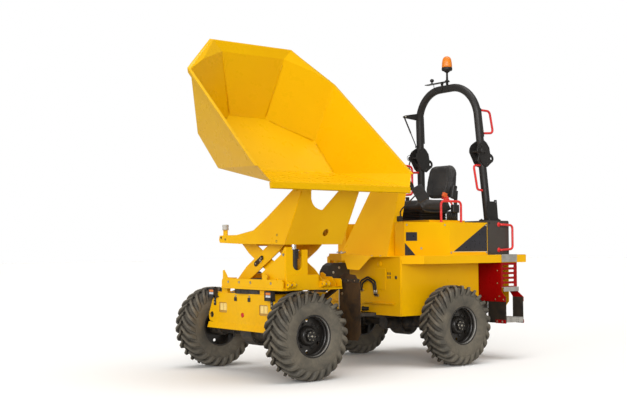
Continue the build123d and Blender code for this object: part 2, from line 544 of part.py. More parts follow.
# nose over the centre pivot: a top plate rising to the tip and a skirt down each side
TIP = (-15.0, 105.0, NOSE_Z1)
SHO = (-260.0, 330.0, 1160.0)
nose = poly([(TIP[0], TIP[1], TIP[2]), (TIP[0], -TIP[1], TIP[2]), (SHO[0], -SHO[1], SHO[2]), (SHO[0], SHO[1], SHO[2]),
             (TIP[0], TIP[1], TIP[2] - 10), (TIP[0], -TIP[1], TIP[2] - 10), (SHO[0], -SHO[1], SHO[2] - 10), (SHO[0], SHO[1], SHO[2] - 10)],
            [[0, 1, 2, 3], [4, 5, 6, 7], [0, 1, 5, 4], [1, 2, 6, 5], [2, 3, 7, 6], [3, 0, 4, 7]])
nose = nose + prism("z", [(SHO[0] + 4, 326), (-400, 612), (-400, -612), (SHO[0] + 4, -326)], 1150, 1160)
nose = nose + box(TIP[0] - 8, TIP[0], -TIP[1], TIP[1], 1115, TIP[2] - 4)
side_len = float(np.hypot(TIP[0] - SHO[0], TIP[1] - SHO[1]))
sd = np.array([(SHO[0] - TIP[0]) / side_len, (SHO[1] - TIP[1]) / side_len])
sn = np.array([-sd[1], sd[0]])           # towards the middle
if sn[1] > 0:
    sn = -sn
SKIRT = [(0.0, TIP[2] - 4), (1.0, SHO[2] - 4), (0.91, 1140), (0.56, 1012), (0.19, 1024), (0.11, 1115), (0.0, 1115)]   # (share of the side, z)
ring_a = [(TIP[0] + sd[0] * t * side_len, TIP[1] + sd[1] * t * side_len, z) for t, z in SKIRT]
ring_b = [(x + sn[0] * 8, y + sn[1] * 8, z) for x, y, z in ring_a]
k = len(SKIRT)
sk = poly(ring_a + ring_b, [list(range(k)), list(range(k, 2 * k))] + [[i, (i + 1) % k, k + (i + 1) % k, k + i] for i in range(k)])
nose = fuse(nose, sk, mirror_y(sk))
nose = nose + cyl("z", 62, PIVOT_X, 0, 1094, 1172)
nose = nose + box(-400, -60, -12, 12, 1110, 1160)
nose = nose - cyl("z", 30, PIVOT_X, 0, 1090, 1200)
bodyp = fuse(box(BODY_FRONT_X, BODY_FRONT_X + 8, -BODY_HALF_Y, BODY_HALF_Y, BODY_Z0, 1150),
             both(box(-1560, BODY_FRONT_X, BODY_HALF_Y - 8, BODY_HALF_Y, BODY_Z0, 1150)),
             box(-1560, -1552, -BODY_HALF_Y, BODY_HALF_Y, BODY_Z0 + 110, 1150))
bodyp = bodyp + both(box(BODY_FRONT_X, BODY_FRONT_X + 38, 33, 530, 652, 660))
bodyp = bodyp + both(box(-1560, BODY_FRONT_X, 300, BODY_HALF_Y, BODY_Z0, BODY_Z0 + 6))
bodyp = bodyp + both(prism("x", [(306, 1150), (575, 1150), (575, 625), (515, 560), (306, 560)], -2110, -2098)) + both(box(-2110, -1552, 300, 306, 645, 1150))
bodyp = bodyp - box(BODY_FRONT_X - 1, BODY_FRONT_X + 9, -225, 225, 500, 554)
put("rear_body", fuse(nose, bodyp))

DK = [(-400, 612), (-560, DECK_HALF_Y), (DECK_X1, DECK_HALF_Y), (DECK_X1, -DECK_HALF_Y), (-560, -DECK_HALF_Y), (-400, -612)]
DKI = [(-400, 604), (-557, DECK_HALF_Y - 8), (DECK_X1 + 8, DECK_HALF_Y - 8), (DECK_X1 + 8, -DECK_HALF_Y + 8), (-557, -DECK_HALF_Y + 8), (-400, -604)]
deck = prism("z", DK, 1150, DECK_Z)
skirt = prism("z", DK, DECK_Z - DECK_FLANGE, 1150) - prism("z", DKI, 1000, 1151) - box(-500, -380, -622, 622, 1000, 1150)
put("deck", fuse(deck, skirt))

put("engine_block", box(-1500, -760, -240, 240, 580, 1080))

cover = fuse(box(-1640, -1080, -345, 345, DECK_Z, 1553))
for s in (-1, 1):
    pts = [(-545, s * 412), (-505, s * 414), (-505, s * 560), (-1050, s * 690), (-1640, s * 690), (-1640, s * 345), (-665, s * 345)]
    cover = cover + prism("z", pts, DECK_Z, POD_Z1)
put("engine_cover", cover)
put("seat_suspension", box(-1560, -1105, -200, 200, 1553, 1570), box(-1540, -1110, -185, 185, 1570, 1645), box(-1565, -1095, -215, 215, 1645, 1659))
put("rear_box", fillet((box(-1990, -1640, -690, 690, DECK_Z, 1545)).edges().filter_by(Axis.Y).sort_by(Axis.Z)[-2:], 18))


def cowl_loft(bx0, bx1, bh, tx0, tx1, thh, z0, z1):
    b = [(bx0, -bh), (bx1, -bh), (bx1, bh), (bx0, bh)]
    t = [(tx0, -thh), (tx1, -thh), (tx1, thh), (tx0, thh)]
    V = [(x, y, z0) for x, y in b] + [(x, y, z1) for x, y in t]
    F = [[0, 1, 2, 3], [4, 5, 6, 7]] + [[i, (i + 1) % 4, 4 + (i + 1) % 4, 4 + i] for i in range(4)]
    return poly(V, F)


cowl = cowl_loft(-402, -530, 402, -745, -860, 232, DECK_Z, 1930)
cowl = cowl - cowl_loft(-410, -540, 394, -753, -870, 224, DECK_Z - 1, 1922)
put("front_cowl", cowl)
dash = prism("y", [(-750, 1930), (-745, 1945), (-860, 1975), (-960, 1930), (-960, 1900), (-860, 1930)], -215, 215)
tilt = np.radians(28)
sw = Solid.make_torus(180, 14, Plane(origin=(-925, 0, 1990), z_dir=(-np.sin(tilt), 0, np.cos(tilt))))
hubc = rod((-925, 0, 1990), (-925 + 60 * np.sin(tilt), 0, 1990 - 60 * np.cos(tilt)), 26)
spokes = []
for a in (77, 197, 317):
    c, s_ = np.cos(np.radians(a)), np.sin(np.radians(a))
    d = np.array([c * np.cos(tilt), s_, c * np.sin(tilt)])
    q = np.array([-925, 0, 1990]) + 165.9 * d
    spokes.append(rod((-925, 0, 1990), tuple(q), 9))
put("driver_controls", dash, sw, fuse(hubc, *spokes))
put("seat_cushion", fillet(box(-1575, -1065, -250, 250, 1660, 1800).edges(), 26))
bk = Pos(-1616, 0, 2013) * (Rot(0, -8, 0) * fillet(Box(112, 480, 418).edges(), 26))
put("seat_backrest", bk)

# roll-over bar
ln = np.radians(ROPS_LEAN)


def rp(y, z):
    return (ROPS_X + (z - ROPS_KNEE_Z) * np.tan(ln), y, z)


KNUCKLE = [(-1794, 2158), (-1752, 2166), (-1705, 2200), (-1660, 2275), (-1628, 2328), (-1634, 2372), (-1660, 2410), (-1700, 2436), (-1745, 2461),
           (-1790, 2430), (-1829, 2382), (-1843, 2312), (-1870, 2302), (-1893, 2278), (-1898, 2248), (-1884, 2222), (-1842, 2195)]   # (x, z)
low = []
for s in (-1, 1):
    leg = rod(rp(s * ROPS_HALF_FOOT, 1557), rp(s * (ROPS_HALF_KNEE + 2), ROPS_KNEE_Z - 60), ROPS_R)
    foot = box(-1936, -1740, s * 470, s * 620, 1545, 1560)
    gus = prism("y", [(-1932, 1560), (-1750, 1560), (-1757, 1766), (-1872, 1766), (-1879, 1784), (-1910, 1784)], s * 575, s * 587) - cyl("y", 9, -1892, 1762, s * 574, s * 588)
    chk = []
    for y0, y1 in ((434, 446), (548, 560)):
        chk.append(prism("y", KNUCKLE, s * y0, s * y1) - cyl("y", 17, -1856, 2256, s * (y0 - 1), s * (y1 + 1)))
    l = fuse(leg, foot, gus, *chk)
    l = l + box(ROPS_X - 50, ROPS_X + 35, s * ROPS_HALF_KNEE - 60, s * ROPS_HALF_KNEE + 60, ROPS_KNEE_Z - 105, ROPS_KNEE_Z - 60)
    l = l + fuse(cyl("y", 14, ROPS_X, ROPS_KNEE_Z, s * ROPS_HALF_KNEE - 60, s * ROPS_HALF_KNEE + 60),
                 cyl("y", 20, ROPS_X, ROPS_KNEE_Z, s * ROPS_HALF_KNEE + s * 58, s * ROPS_HALF_KNEE + s * 70),
                 cyl("y", 22, -1672, 2331, s * ROPS_HALF_KNEE + s * 58, s * ROPS_HALF_KNEE + s * 84),
                 cyl("y", 12, -1672, 2331, s * ROPS_HALF_KNEE - 60, s * ROPS_HALF_KNEE + 60))
    low.append(l)
put("rops_legs", *low)
hp = [rp(ROPS_HALF_KNEE - 1, ROPS_KNEE_Z + 30), rp(ROPS_HALF_TOP, ROPS_TOP_Z), rp(-ROPS_HALF_TOP, ROPS_TOP_Z), rp(-ROPS_HALF_KNEE + 1, ROPS_KNEE_Z + 30)]
hoop = tube_path(hp, ROPS_BEND_R, ROPS_R)
for s in (-1, 1):
    eye = fuse(cyl("y", 34, ROPS_X, ROPS_KNEE_Z, s * ROPS_HALF_KNEE - 34, s * ROPS_HALF_KNEE + 34),
               box(ROPS_X - 28, ROPS_X + 28, s * ROPS_HALF_KNEE - 34, s * ROPS_HALF_KNEE + 34, ROPS_KNEE_Z, ROPS_KNEE_Z + 60))
    hoop = hoop + eye
hoop = hoop - cyl("y", 14 + RUN, ROPS_X, ROPS_KNEE_Z, -600, 600)
# flat bars down the back of the legs, and the strut bracket on the right leg
for s in (-1, 1):
    xa, ya, xb, yb = rp(0, 2512)[0], s * 490, rp(0, 2838)[0], s * 473
    bar = poly([(xa - 38, ya - 6, 2512), (xa - 72, ya - 6, 2512), (xa - 72, ya + 6, 2512), (xa - 38, ya + 6, 2512),
                (xb - 38, yb - 6, 2838), (xb - 66, yb - 6, 2838), (xb - 66, yb + 6, 2838), (xb - 38, yb + 6, 2838)],
               [[0, 1, 2], [0, 2, 3], [4, 5, 6], [4, 6, 7]] + [f for i in range(4) for f in ([i, (i + 1) % 4, 4 + (i + 1) % 4], [i, 4 + (i + 1) % 4, 4 + i])])
    hoop = hoop + bar
hoop = hoop + prism("y", [(-1690, 2870), (-1690, 2785), (-1500, 2800), (-1474, 2806), (-1474, 2830), (-1490, 2836)], -480, -468)
hoop = hoop + fuse(cyl("y", 10, -1484, 2818, -500, -462), rod((-1484, -490, 2818), (-1590, -490, 2626), 9), rod((-1584, -490, 2637), (-1676, -490, 2470), 6), cyl("y", 11, -1678, 2466, -500, -480))
put("rops_hoop", hoop)
bx, _, bz = rp(0, ROPS_TOP_Z + ROPS_R)
bpost = fuse(box(bx - 30, bx + 30, -325, 45, 3192, 3200), *[box(bx - 12, bx + 12, y0, y0 + 22, bz + 0.2, 3192) for y0 in (-70, 15)],
             cyl("z", 12, bx, 26, 3200, 3330), cyl("z", 26, bx, 26, 3200, 3212), cyl("z", 24, bx, -228, 3200, 3262))
beacon = fuse(cyl("z", 63, bx, 26, 3326, 3366), Pos(bx, 26, 3431) * Cone(63, 47, 130))
put("beacon", fuse(bpost, beacon))

# handles
hnd = []
R_H = 13.0
hnd.append(tube_path([(-1012, 600, 1520), (-1012, 600, 1752), (-1318, 600, 1752), (-1318, 600, 1520)], 45, R_H))
for s in (-1, 1):
    hnd.append(tube_path([(-1820, s * 690, 1500), (-1820, s * 735, 1500), (-2000, s * 735, 1492), (-2000, s * 735, 1225), (-1820, s * 735, 1215), (-1820, s * 690, 1215)],
                         [18, 40, 40, 18], R_H))
# on the left roll bar leg, in front of it
hnd.append(tube_path([(-1721, 509, 2178), (-1612, 518, 2172), (-1662, 526, 1898), (-1741, 524, 1892)], [32, 32], R_H))
# on the right roll bar leg: a loop reaching forward, with a stub to the leg
hnd.append(fuse(tube_path([(-1440, -500, 1872), (-1617, -500, 1887), (-1613, -500, 2222), (-1440, -500, 2238)], [45, 45], R_H),
                rod((-1440, -500, 1862), (-1440, -500, 2248), R_H), rod((-1613, -500, 2150), (-1722, -506, 2156), R_H)))
put("grab_handles", *hnd)
x1, _, z1 = rp(0, 2546); x2, _, z2 = rp(0, 2816)
put("hoop_handle", tube_path([(x1 - 72.5, 489, z1 + 4), (-1970, 489, 2562), (-1926, 477, 2812), (x2 - 68.0, 477, z2)], [42, 48], R_H))

# steps, both sides
st, tr, strap = [], [], []
PLATE_F = [(433, 1150), (790, 1150), (790, 760), (846, 690), (846, 640), (500, 640), (433, 680)]   # (y, z)
PLATE_R = [(670, 803), (790, 803), (800, 760), (896, 690), (896, 640), (750, 640), (738, 700), (700, 745), (670, 756)]   # low, behind the second tread
for s in (-1, 1):
    pf = prism("x", [(s * y, z) for y, z in PLATE_F], STEP_X0 - 8, STEP_X0)
    pr = prism("x", [(s * y, z) for y, z in PLATE_R], STEP_X1, STEP_X1 + 8)
    riser = fuse(box(STEP_X1 - 14, STEP_X0 - 8, s * 782, s * 790, 803, 1150), box(STEP_X1 - 14, STEP_X1 - 6, s * 748, s * 790, 803, 1150), box(STEP_X1 - 14, STEP_X1 + 8, s * 748, s * 790, 803, 811))
    for j in range(5):
        z = 1033 - 52 * j
        riser = riser - fuse(box(STEP_X1 + 42, STEP_X0 - 42, s * 770, s * 800, z - 13, z + 13),
                             cyl("y", 13, STEP_X1 + 42, z, s * 770, s * 800), cyl("y", 13, STEP_X0 - 42, z, s * 770, s * 800))
    st.append(fuse(pf, pr, riser))
    st.append(box(STEP_X0 - 8, STEP_X0, s * 700, s * 846, 400, 440))
    st.append(box(STEP_X1, STEP_X1 + 8, s * 790, s * 896, 400, 440))
    tr.append(fuse(box(STEP_X1, STEP_X0, s * 700, s * 806, 1160, 1166), box(STEP_X1, STEP_X0, s * 800, s * 806, 1080, 1166)))
    tr.append(fuse(box(STEP_X1 + 8, STEP_X0 - 8, s * 790, s * 828, 797, 803), box(STEP_X1, STEP_X0, s * 820, s * 828, 754, 803)))
    low = prism("z", [(STEP_X1 + 18, s * 696), (STEP_X1 + 18, s * 900), (STEP_X0 - 18, s * 850), (STEP_X0 - 18, s * 640)], 462, 468)
    low = low + prism("z", [(STEP_X1 + 18, s * 892), (STEP_X1 + 18, s * 900), (STEP_X0 - 18, s * 850), (STEP_X0 - 18, s * 842)], 412, 468)
    tr.append(low + prism("z", [(STEP_X1 + 18, s * 696), (STEP_X1 + 18, s * 704), (STEP_X0 - 18, s * 648), (STEP_X0 - 18, s * 640)], 425, 468))
    strap.append(box(STEP_X0 - 18, STEP_X0 - 8, s * 582, s * 846, 402, 700))
    strap.append(box(STEP_X1 + 8, STEP_X1 + 18, s * 750, s * 896, 402, 690))
put("step_panels", *st)
put("step_treads", *tr)
put("step_straps", *strap)

# mirror on the cowl's left side
mhead = Plane(origin=(-752, 550, 1828), x_dir=(-0.5200, 0.1610, -0.8390), z_dir=(0.6724, 0.6820, -0.2856)) * fillet(Box(180, 128, 34).edges(), 14)
mfoot = box(-660, -616, 290, 372, 1530, 1592) - cowl_loft(-402, -530, 402, -745, -860, 232, DECK_Z, 1930)
put("mirror", fuse(mfoot, tube_path([(-638, 358, 1580), (-626, 380, 1650), (-712, 524, 1814)], 20, 8), mhead))

# hydraulic hoses on the front of the body, held at both ends by their fittings
hs = []
for a0, a1, top, out in ((-14, 268, 936, 30), (16, 238, 914, 30)):
    X = BODY_FRONT_X + 8 + out
    hs.append(tube_path([(BODY_FRONT_X + 8, a0, 790), (X, a0, 790), (X, a0 + 26, top - 46), (X, (a0 + a1) / 2, top), (X, a1 - 22, top - 46), (X, a1, 740), (BODY_FRONT_X + 8, a1, 740)],
                        [18, 40, 55, 40, 18], 9.5))
put("hydraulic_hoses", *hs)

# rear tow jaw, part of the rear frame
jaw = fuse(box(-2130, -2050, -60, 60, 560, 700), box(-2243, -2130, -45, 45, 590, 615), box(-2243, -2130, -45, 45, 655, 680))
jaw = jaw - cyl("z", 17.5, -2203, 0, 580, 700)
nodes["rear_frame"].append(jaw)

# ---------------------------------------------------------------- row origin
allb = Compound(children=[s for ss in nodes.values() for s in ss]).bounding_box()
OX = (allb.min.X + allb.max.X) / 2
OY = (allb.min.Y + allb.max.Y) / 2
OZ = allb.min.Z
print("row origin in machine axes", round(OX, 4), round(OY, 4), round(OZ, 4))
print("size", round(allb.size.X, 2), round(allb.size.Y, 2), round(allb.size.Z, 2))
print("arm half", ARM_HALF, "slide", SLIDE_Y, SLIDE_Y_LOW, "cross", CROSS_Y, CROSS_Z, "travel", LIFT_TRAVEL, "tip length", TIP_L)
tot = 0
for name, ss in nodes.items():
    solids = []
    for s in ss:
        solids += list(s.solids()) if not isinstance(s, Solid) else [s]
    c = Compound(children=[Pos(-OX, -OY, -OZ) * q for q in solids])
    v = sum(q.volume for q in solids)
    tot += v
    bad = [q for q in solids if q.volume <= 0 or not q.is_valid]
    print(f"{name:24s} solids {len(solids):2d} volume {v / 1e6:9.3f} litre", "BAD" if bad else "")
    export_step(c, f"parts/{name}.step")
print("total litres", tot / 1e6, "nodes", len(nodes))
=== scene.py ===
import bpy, bmesh, math, json, random
import numpy as np
from mathutils import Vector, Matrix, noise
from mathutils.bvhtree import BVHTree


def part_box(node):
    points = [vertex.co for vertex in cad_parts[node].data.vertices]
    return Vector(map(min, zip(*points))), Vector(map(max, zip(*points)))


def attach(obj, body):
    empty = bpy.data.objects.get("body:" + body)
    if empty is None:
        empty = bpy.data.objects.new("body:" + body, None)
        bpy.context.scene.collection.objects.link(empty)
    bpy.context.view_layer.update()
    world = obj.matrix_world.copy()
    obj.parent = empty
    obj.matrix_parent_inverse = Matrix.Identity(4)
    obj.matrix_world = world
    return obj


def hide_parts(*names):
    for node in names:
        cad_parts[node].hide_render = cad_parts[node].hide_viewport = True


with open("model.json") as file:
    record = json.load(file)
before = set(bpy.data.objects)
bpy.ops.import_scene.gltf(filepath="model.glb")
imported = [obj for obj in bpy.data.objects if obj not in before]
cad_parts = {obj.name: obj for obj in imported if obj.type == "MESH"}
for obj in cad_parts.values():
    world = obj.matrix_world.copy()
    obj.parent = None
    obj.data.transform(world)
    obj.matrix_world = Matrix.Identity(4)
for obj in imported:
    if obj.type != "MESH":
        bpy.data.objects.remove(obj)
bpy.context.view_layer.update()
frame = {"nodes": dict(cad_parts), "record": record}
N = frame["nodes"]
_lo, _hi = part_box("centre_pivot_pin")
OFF = Vector(((_lo[0] + _hi[0]) / 2 + 0.1, (_lo[1] + _hi[1]) / 2, 0.0))   # half way between the axles
XT = 0.855


def M(x, y, z):
    """Machine axes, in metres, to the shared frame."""
    return Vector((x + OFF.x, y + OFF.y, z))


# ================================================================ materials
def nodes_of(name):
    m = bpy.data.materials.new(name)
    m.use_nodes = True
    nt = m.node_tree
    return m, nt, nt.nodes["Principled BSDF"]


def ramp(nt, src, stops):
    r = nt.nodes.new("ShaderNodeValToRGB")
    el = r.color_ramp.elements
    while len(el) < len(stops):
        el.new(0.5)
    for e, (p, c) in zip(el, stops):
        e.position = p
        e.color = (*c, 1) if len(c) == 3 else c
    nt.links.new(src, r.inputs[0])
    return r.outputs[0]


def noise_tex(nt, scale, detail=4.0, rough=0.6, dist=0.0, vec=None):
    t = nt.nodes.new("ShaderNodeTexNoise")
    t.inputs["Scale"].default_value = scale
    t.inputs["Detail"].default_value = detail
    t.inputs["Roughness"].default_value = rough
    t.inputs["Distortion"].default_value = dist
    if vec is None:
        tc = nt.nodes.new("ShaderNodeTexCoord")
        vec = tc.outputs["Object"]
    nt.links.new(vec, t.inputs["Vector"])
    return t.outputs["Fac"]


def maprange(nt, src, a, b, c=0.0, d=1.0):
    t = nt.nodes.new("ShaderNodeMapRange")
    for i, v in zip((1, 2, 3, 4), (a, b, c, d)):
        t.inputs[i].default_value = v
    nt.links.new(src, t.inputs[0])
    return t.outputs[0]


def mul(nt, a, b, op="MULTIPLY"):
    t = nt.nodes.new("ShaderNodeMath")
    t.operation = op
    for i, v in enumerate((a, b)):
        if isinstance(v, (int, float)):
            t.inputs[i].default_value = v
        else:
            nt.links.new(v, t.inputs[i])
    t.use_clamp = op in ("MULTIPLY", "ADD")
    return t.outputs[0]


def mix(nt, fac, a, b):
    t = nt.nodes.new("ShaderNodeMix")
    t.data_type = "RGBA"
    if isinstance(fac, (int, float)):
        t.inputs[0].default_value = fac
    else:
        nt.links.new(fac, t.inputs[0])
    for i, v in ((6, a), (7, b)):
        if isinstance(v, tuple):
            t.inputs[i].default_value = (*v, 1)
        else:
            nt.links.new(v, t.inputs[i])
    return t.outputs[2]


def height(nt, lo, hi):
    """1 at height lo, 0 at height hi."""
    tc = nt.nodes.new("ShaderNodeTexCoord")
    s = nt.nodes.new("ShaderNodeSeparateXYZ")
    nt.links.new(tc.outputs["Object"], s.inputs[0])
    return maprange(nt, s.outputs[2], lo, hi, 1.0, 0.0)


def upward(nt):
    g = nt.nodes.new("ShaderNodeNewGeometry")
    s = nt.nodes.new("ShaderNodeSeparateXYZ")
    nt.links.new(g.outputs["Normal"], s.inputs[0])
    return maprange(nt, s.outputs[2], 0.35, 0.95)


def edges(nt, radius):
    """Softened normal, and a mask that is 1 on sharp edges."""
    bv = nt.nodes.new("ShaderNodeBevel")
    bv.samples = 4
    bv.inputs["Radius"].default_value = radius
    g = nt.nodes.new("ShaderNodeNewGeometry")
    d = nt.nodes.new("ShaderNodeVectorMath")
    d.operation = "DOT_PRODUCT"
    nt.links.new(bv.outputs[0], d.inputs[0])
    nt.links.new(g.outputs["Normal"], d.inputs[1])
    return bv.outputs[0], maprange(nt, d.outputs["Value"], 0.985, 0.86)


def bump(nt, hgt, strength, distance, normal=None):
    b = nt.nodes.new("ShaderNodeBump")
    b.inputs["Strength"].default_value = strength
    b.inputs["Distance"].default_value = distance
    nt.links.new(hgt, b.inputs["Height"])
    if normal is not None:
        nt.links.new(normal, b.inputs["Normal"])
    return b.outputs[0]


def painted(name, col, dark, rough=0.34, coat=0.35, wear=(0.25, 0.2, 0.16), wear_amt=0.5, dust=(0.30, 0.22, 0.13), dust_amt=0.35,
            dust_hi=0.9, radius=0.003, top_dust=0.12, peel=0.05, spec=0.4, tint=(1, 1, 1), rvar=1.0):
    m, nt, b = nodes_of(name)
    big = noise_tex(nt, 1.7, 3.0, 0.55, 0.3)
    c = mix(nt, maprange(nt, big, 0.35, 0.7), col, dark)
    fine = noise_tex(nt, 22.0, 6.0, 0.65, 0.5)
    # dust settles on tops and low down
    low = mul(nt, height(nt, 0.25, dust_hi), maprange(nt, fine, 0.42, 0.72))
    top = mul(nt, mul(nt, upward(nt), maprange(nt, noise_tex(nt, 6.0, 5.0, 0.7, 0.6), 0.42, 0.75)), top_dust)
    d = mul(nt, mul(nt, low, dust_amt), top, "ADD")
    c = mix(nt, d, c, dust)
    nrm, em = edges(nt, radius)
    w = mul(nt, mul(nt, em, maprange(nt, noise_tex(nt, 60.0, 4.0, 0.7), 0.52, 0.64)), wear_amt)
    c = mix(nt, w, c, wear)
    nt.links.new(c, b.inputs["Base Color"])
    r = maprange(nt, noise_tex(nt, 9.0, 5.0, 0.6), 0.3, 0.75, rough - 0.07 * rvar, rough + 0.12 * rvar)
    nt.links.new(mul(nt, r, mul(nt, d, 0.4), "ADD"), b.inputs["Roughness"])
    nt.links.new(bump(nt, noise_tex(nt, 340.0, 2.0, 0.5), peel, 0.0006, nrm), b.inputs["Normal"])
    b.inputs["Coat Weight"].default_value = coat
    b.inputs["Coat Roughness"].default_value = 0.12
    b.inputs["Specular IOR Level"].default_value = spec
    b.inputs["Specular Tint"].default_value = (*tint, 1)
    return m


YEL = painted("yellow_paint", (0.88, 0.480, 0.0010), (0.83, 0.420, 0.0010), 0.34, 0.05, wear=(0.50, 0.22, 0.02), wear_amt=0.30, dust=(0.46, 0.22, 0.02), dust_amt=0.34, top_dust=0.08,
              spec=0.42, tint=(1.0, 0.60, 0.08))
YEL_SKIP = painted("skip_paint", (0.75, 0.425, 0.0008), (0.735, 0.400, 0.0008), 0.28, 0.06, wear=(0.80, 0.38, 0.01), wear_amt=0.10, dust=(0.7, 0.36, 0.02), dust_amt=0.03, top_dust=0.0, radius=0.005,
                   peel=0.015, rvar=0.25, spec=0.42, tint=(1.0, 0.60, 0.08))
BLK = painted("chassis_black", (0.018, 0.017, 0.017), (0.026, 0.024, 0.022), 0.42, 0.1, wear=(0.18, 0.15, 0.12), wear_amt=0.5, dust=(0.13, 0.095, 0.06), dust_amt=0.75, dust_hi=1.25)
BAR = painted("roll_bar_grey", (0.017, 0.016, 0.0155), (0.025, 0.023, 0.022), 0.44, 0.03, wear=(0.2, 0.19, 0.18), wear_amt=0.4, dust=(0.14, 0.12, 0.10), dust_amt=0.1, top_dust=0.18, spec=0.32)
DGREY = painted("dark_grey_paint", (0.052, 0.044, 0.038), (0.068, 0.058, 0.050), 0.38, 0.10, wear=(0.2, 0.19, 0.18), wear_amt=0.3, dust=(0.22, 0.18, 0.14), dust_amt=0.2)
RIMP = painted("rim_paint", (0.014, 0.012, 0.011), (0.022, 0.019, 0.016), 0.30, 0.35, wear=(0.20, 0.18, 0.15), wear_amt=0.25, dust=(0.10, 0.085, 0.065), dust_amt=0.12, dust_hi=1.1)
RIML = painted("rim_lip_grey", (0.30, 0.29, 0.27), (0.22, 0.21, 0.195), 0.34, 0.25, wear=(0.20, 0.18, 0.15), wear_amt=0.25, dust=(0.20, 0.17, 0.13), dust_amt=0.25, dust_hi=1.1)
RED = painted("red_paint", (0.36, 0.0015, 0.003), (0.27, 0.001, 0.002), 0.30, 0.08, wear=(0.2, 0.01, 0.01), wear_amt=0.3, dust=(0.24, 0.04, 0.02), dust_amt=0.10, tint=(1.0, 0.2, 0.15))
REDH = painted("handle_red", (0.74, 0.030, 0.026), (0.64, 0.018, 0.018), 0.30, 0.15, wear=(0.3, 0.05, 0.05), wear_amt=0.3, dust=(0.3, 0.12, 0.08), dust_amt=0.1)


def rubber(name, col, dusty, amt, scale=7.0, rough=0.82, bmp=0.25, dust_hi=1.0, bscale=90.0, groove_ao_shade=0.0):
    m, nt, b = nodes_of(name)
    n1 = noise_tex(nt, scale, 7.0, 0.68, 0.7)
    n2 = noise_tex(nt, scale * 9, 5.0, 0.7)
    f = mul(nt, maprange(nt, n1, 0.34, 0.68), amt)
    f = mul(nt, f, maprange(nt, n2, 0.25, 0.7, 0.45, 1.0))
    f = mul(nt, f, mul(nt, height(nt, 0.0, dust_hi), 0.55, "ADD"))
    c = mix(nt, f, col, dusty)
    # painted shade: an ambient-occlusion mask darkens the grooves and lug sides toward near-black
    if groove_ao_shade:
        ao = nt.nodes.new("ShaderNodeAmbientOcclusion"); ao.samples = 6; ao.only_local = True
        ao.inputs["Distance"].default_value = groove_ao_shade
        c = mix(nt, maprange(nt, ao.outputs["AO"], 0.50, 0.97), (0.016, 0.013, 0.010), c)
    nt.links.new(c, b.inputs["Base Color"])
    nt.links.new(maprange(nt, n2, 0.3, 0.7, rough - 0.1, rough + 0.1), b.inputs["Roughness"])
    h = mul(nt, noise_tex(nt, bscale, 5.0, 0.7), mul(nt, n1, 0.6), "ADD")
    nt.links.new(bump(nt, h, bmp, 0.002), b.inputs["Normal"])
    b.inputs["Specular IOR Level"].default_value = 0.35
    return m


TYRE = rubber("tyre_rubber", (0.080, 0.074, 0.062), (0.225, 0.192, 0.140), 0.80, 5.0, 0.66, 0.18, 1.6, groove_ao_shade=0.055)
FLAP = rubber("flap_rubber", (0.016, 0.010, 0.006), (0.090, 0.044, 0.012), 1.0, 4.5, 0.72, 0.4, 1.7)
STRAP = rubber("strap_rubber", (0.012, 0.011, 0.010), (0.060, 0.044, 0.026), 0.8, 6.0, 0.6, 0.3, 1.4)
HOSE = rubber("hose_rubber", (0.012, 0.012, 0.012), (0.05, 0.045, 0.04), 0.4, 12.0, 0.5, 0.1)
PADR = rubber("pale_buffer", (0.55, 0.54, 0.50), (0.36, 0.33, 0.28), 0.5, 16.0, 0.55, 0.15, 3.0)


def plastic(name, col, rough=0.45, grain=500.0, strength=0.15, col2=None):
    m, nt, b = nodes_of(name)
    c = mix(nt, maprange(nt, noise_tex(nt, 8.0, 4.0), 0.35, 0.7), col, col2 or tuple(min(1.0, v * 1.35 + 0.004) for v in col))
    nt.links.new(c, b.inputs["Base Color"])
    nt.links.new(maprange(nt, noise_tex(nt, 30.0, 4.0), 0.3, 0.7, rough - 0.06, rough + 0.1), b.inputs["Roughness"])
    nrm, _ = edges(nt, 0.002)
    nt.links.new(bump(nt, noise_tex(nt, grain, 2.0), strength, 0.0005, nrm), b.inputs["Normal"])
    return m


PLA = plastic("black_plastic", (0.016, 0.016, 0.017))
DECAL = plastic("decal_black", (0.018, 0.018, 0.024), 0.30, 800.0, 0.02)
DECAL_LT = plastic("decal_edge", (0.75, 0.60, 0.28), 0.35, 800.0, 0.02)
REFL = plastic("red_reflector", (0.50, 0.01, 0.01), 0.2, 300.0, 0.3)
BELT = plastic("belt_webbing", (0.55, 0.03, 0.02), 0.7, 900.0, 0.6)
BUCK = plastic("buckle_orange", (0.72, 0.12, 0.02), 0.4)
WHITE = plastic("lamp_white", (0.50, 0.52, 0.56), 0.25, 200.0, 0.1)


def metal(name, col, rough, scratch=0.12, scale=70.0, col2=None, dirty=0.35):
    m, nt, b = nodes_of(name)
    n1 = noise_tex(nt, scale, 5.0, 0.65)
    c = mix(nt, mul(nt, maprange(nt, n1, 0.42, 0.7), dirty), col, col2 or tuple(v * 0.35 for v in col))
    nt.links.new(c, b.inputs["Base Color"])
    nt.links.new(maprange(nt, n1, 0.3, 0.75, rough - 0.05, rough + 0.14), b.inputs["Roughness"])
    nrm, _ = edges(nt, 0.0012)
    nt.links.new(bump(nt, noise_tex(nt, scale * 5, 3.0), scratch, 0.0006, nrm), b.inputs["Normal"])
    b.inputs["Metallic"].default_value = 1.0
    return m


CHROME = metal("rod_chrome", (0.80, 0.80, 0.81), 0.13, 0.02, 40.0)
STEEL = metal("pin_steel", (0.56, 0.55, 0.53), 0.34, 0.12)
ZINC = metal("zinc_bolts", (0.62, 0.58, 0.48), 0.36, 0.1, 120.0)
DARKB = metal("dark_bolts", (0.10, 0.095, 0.09), 0.42, 0.1, 120.0)
IRON = metal("engine_iron", (0.16, 0.155, 0.15), 0.6, 0.5, 30.0)
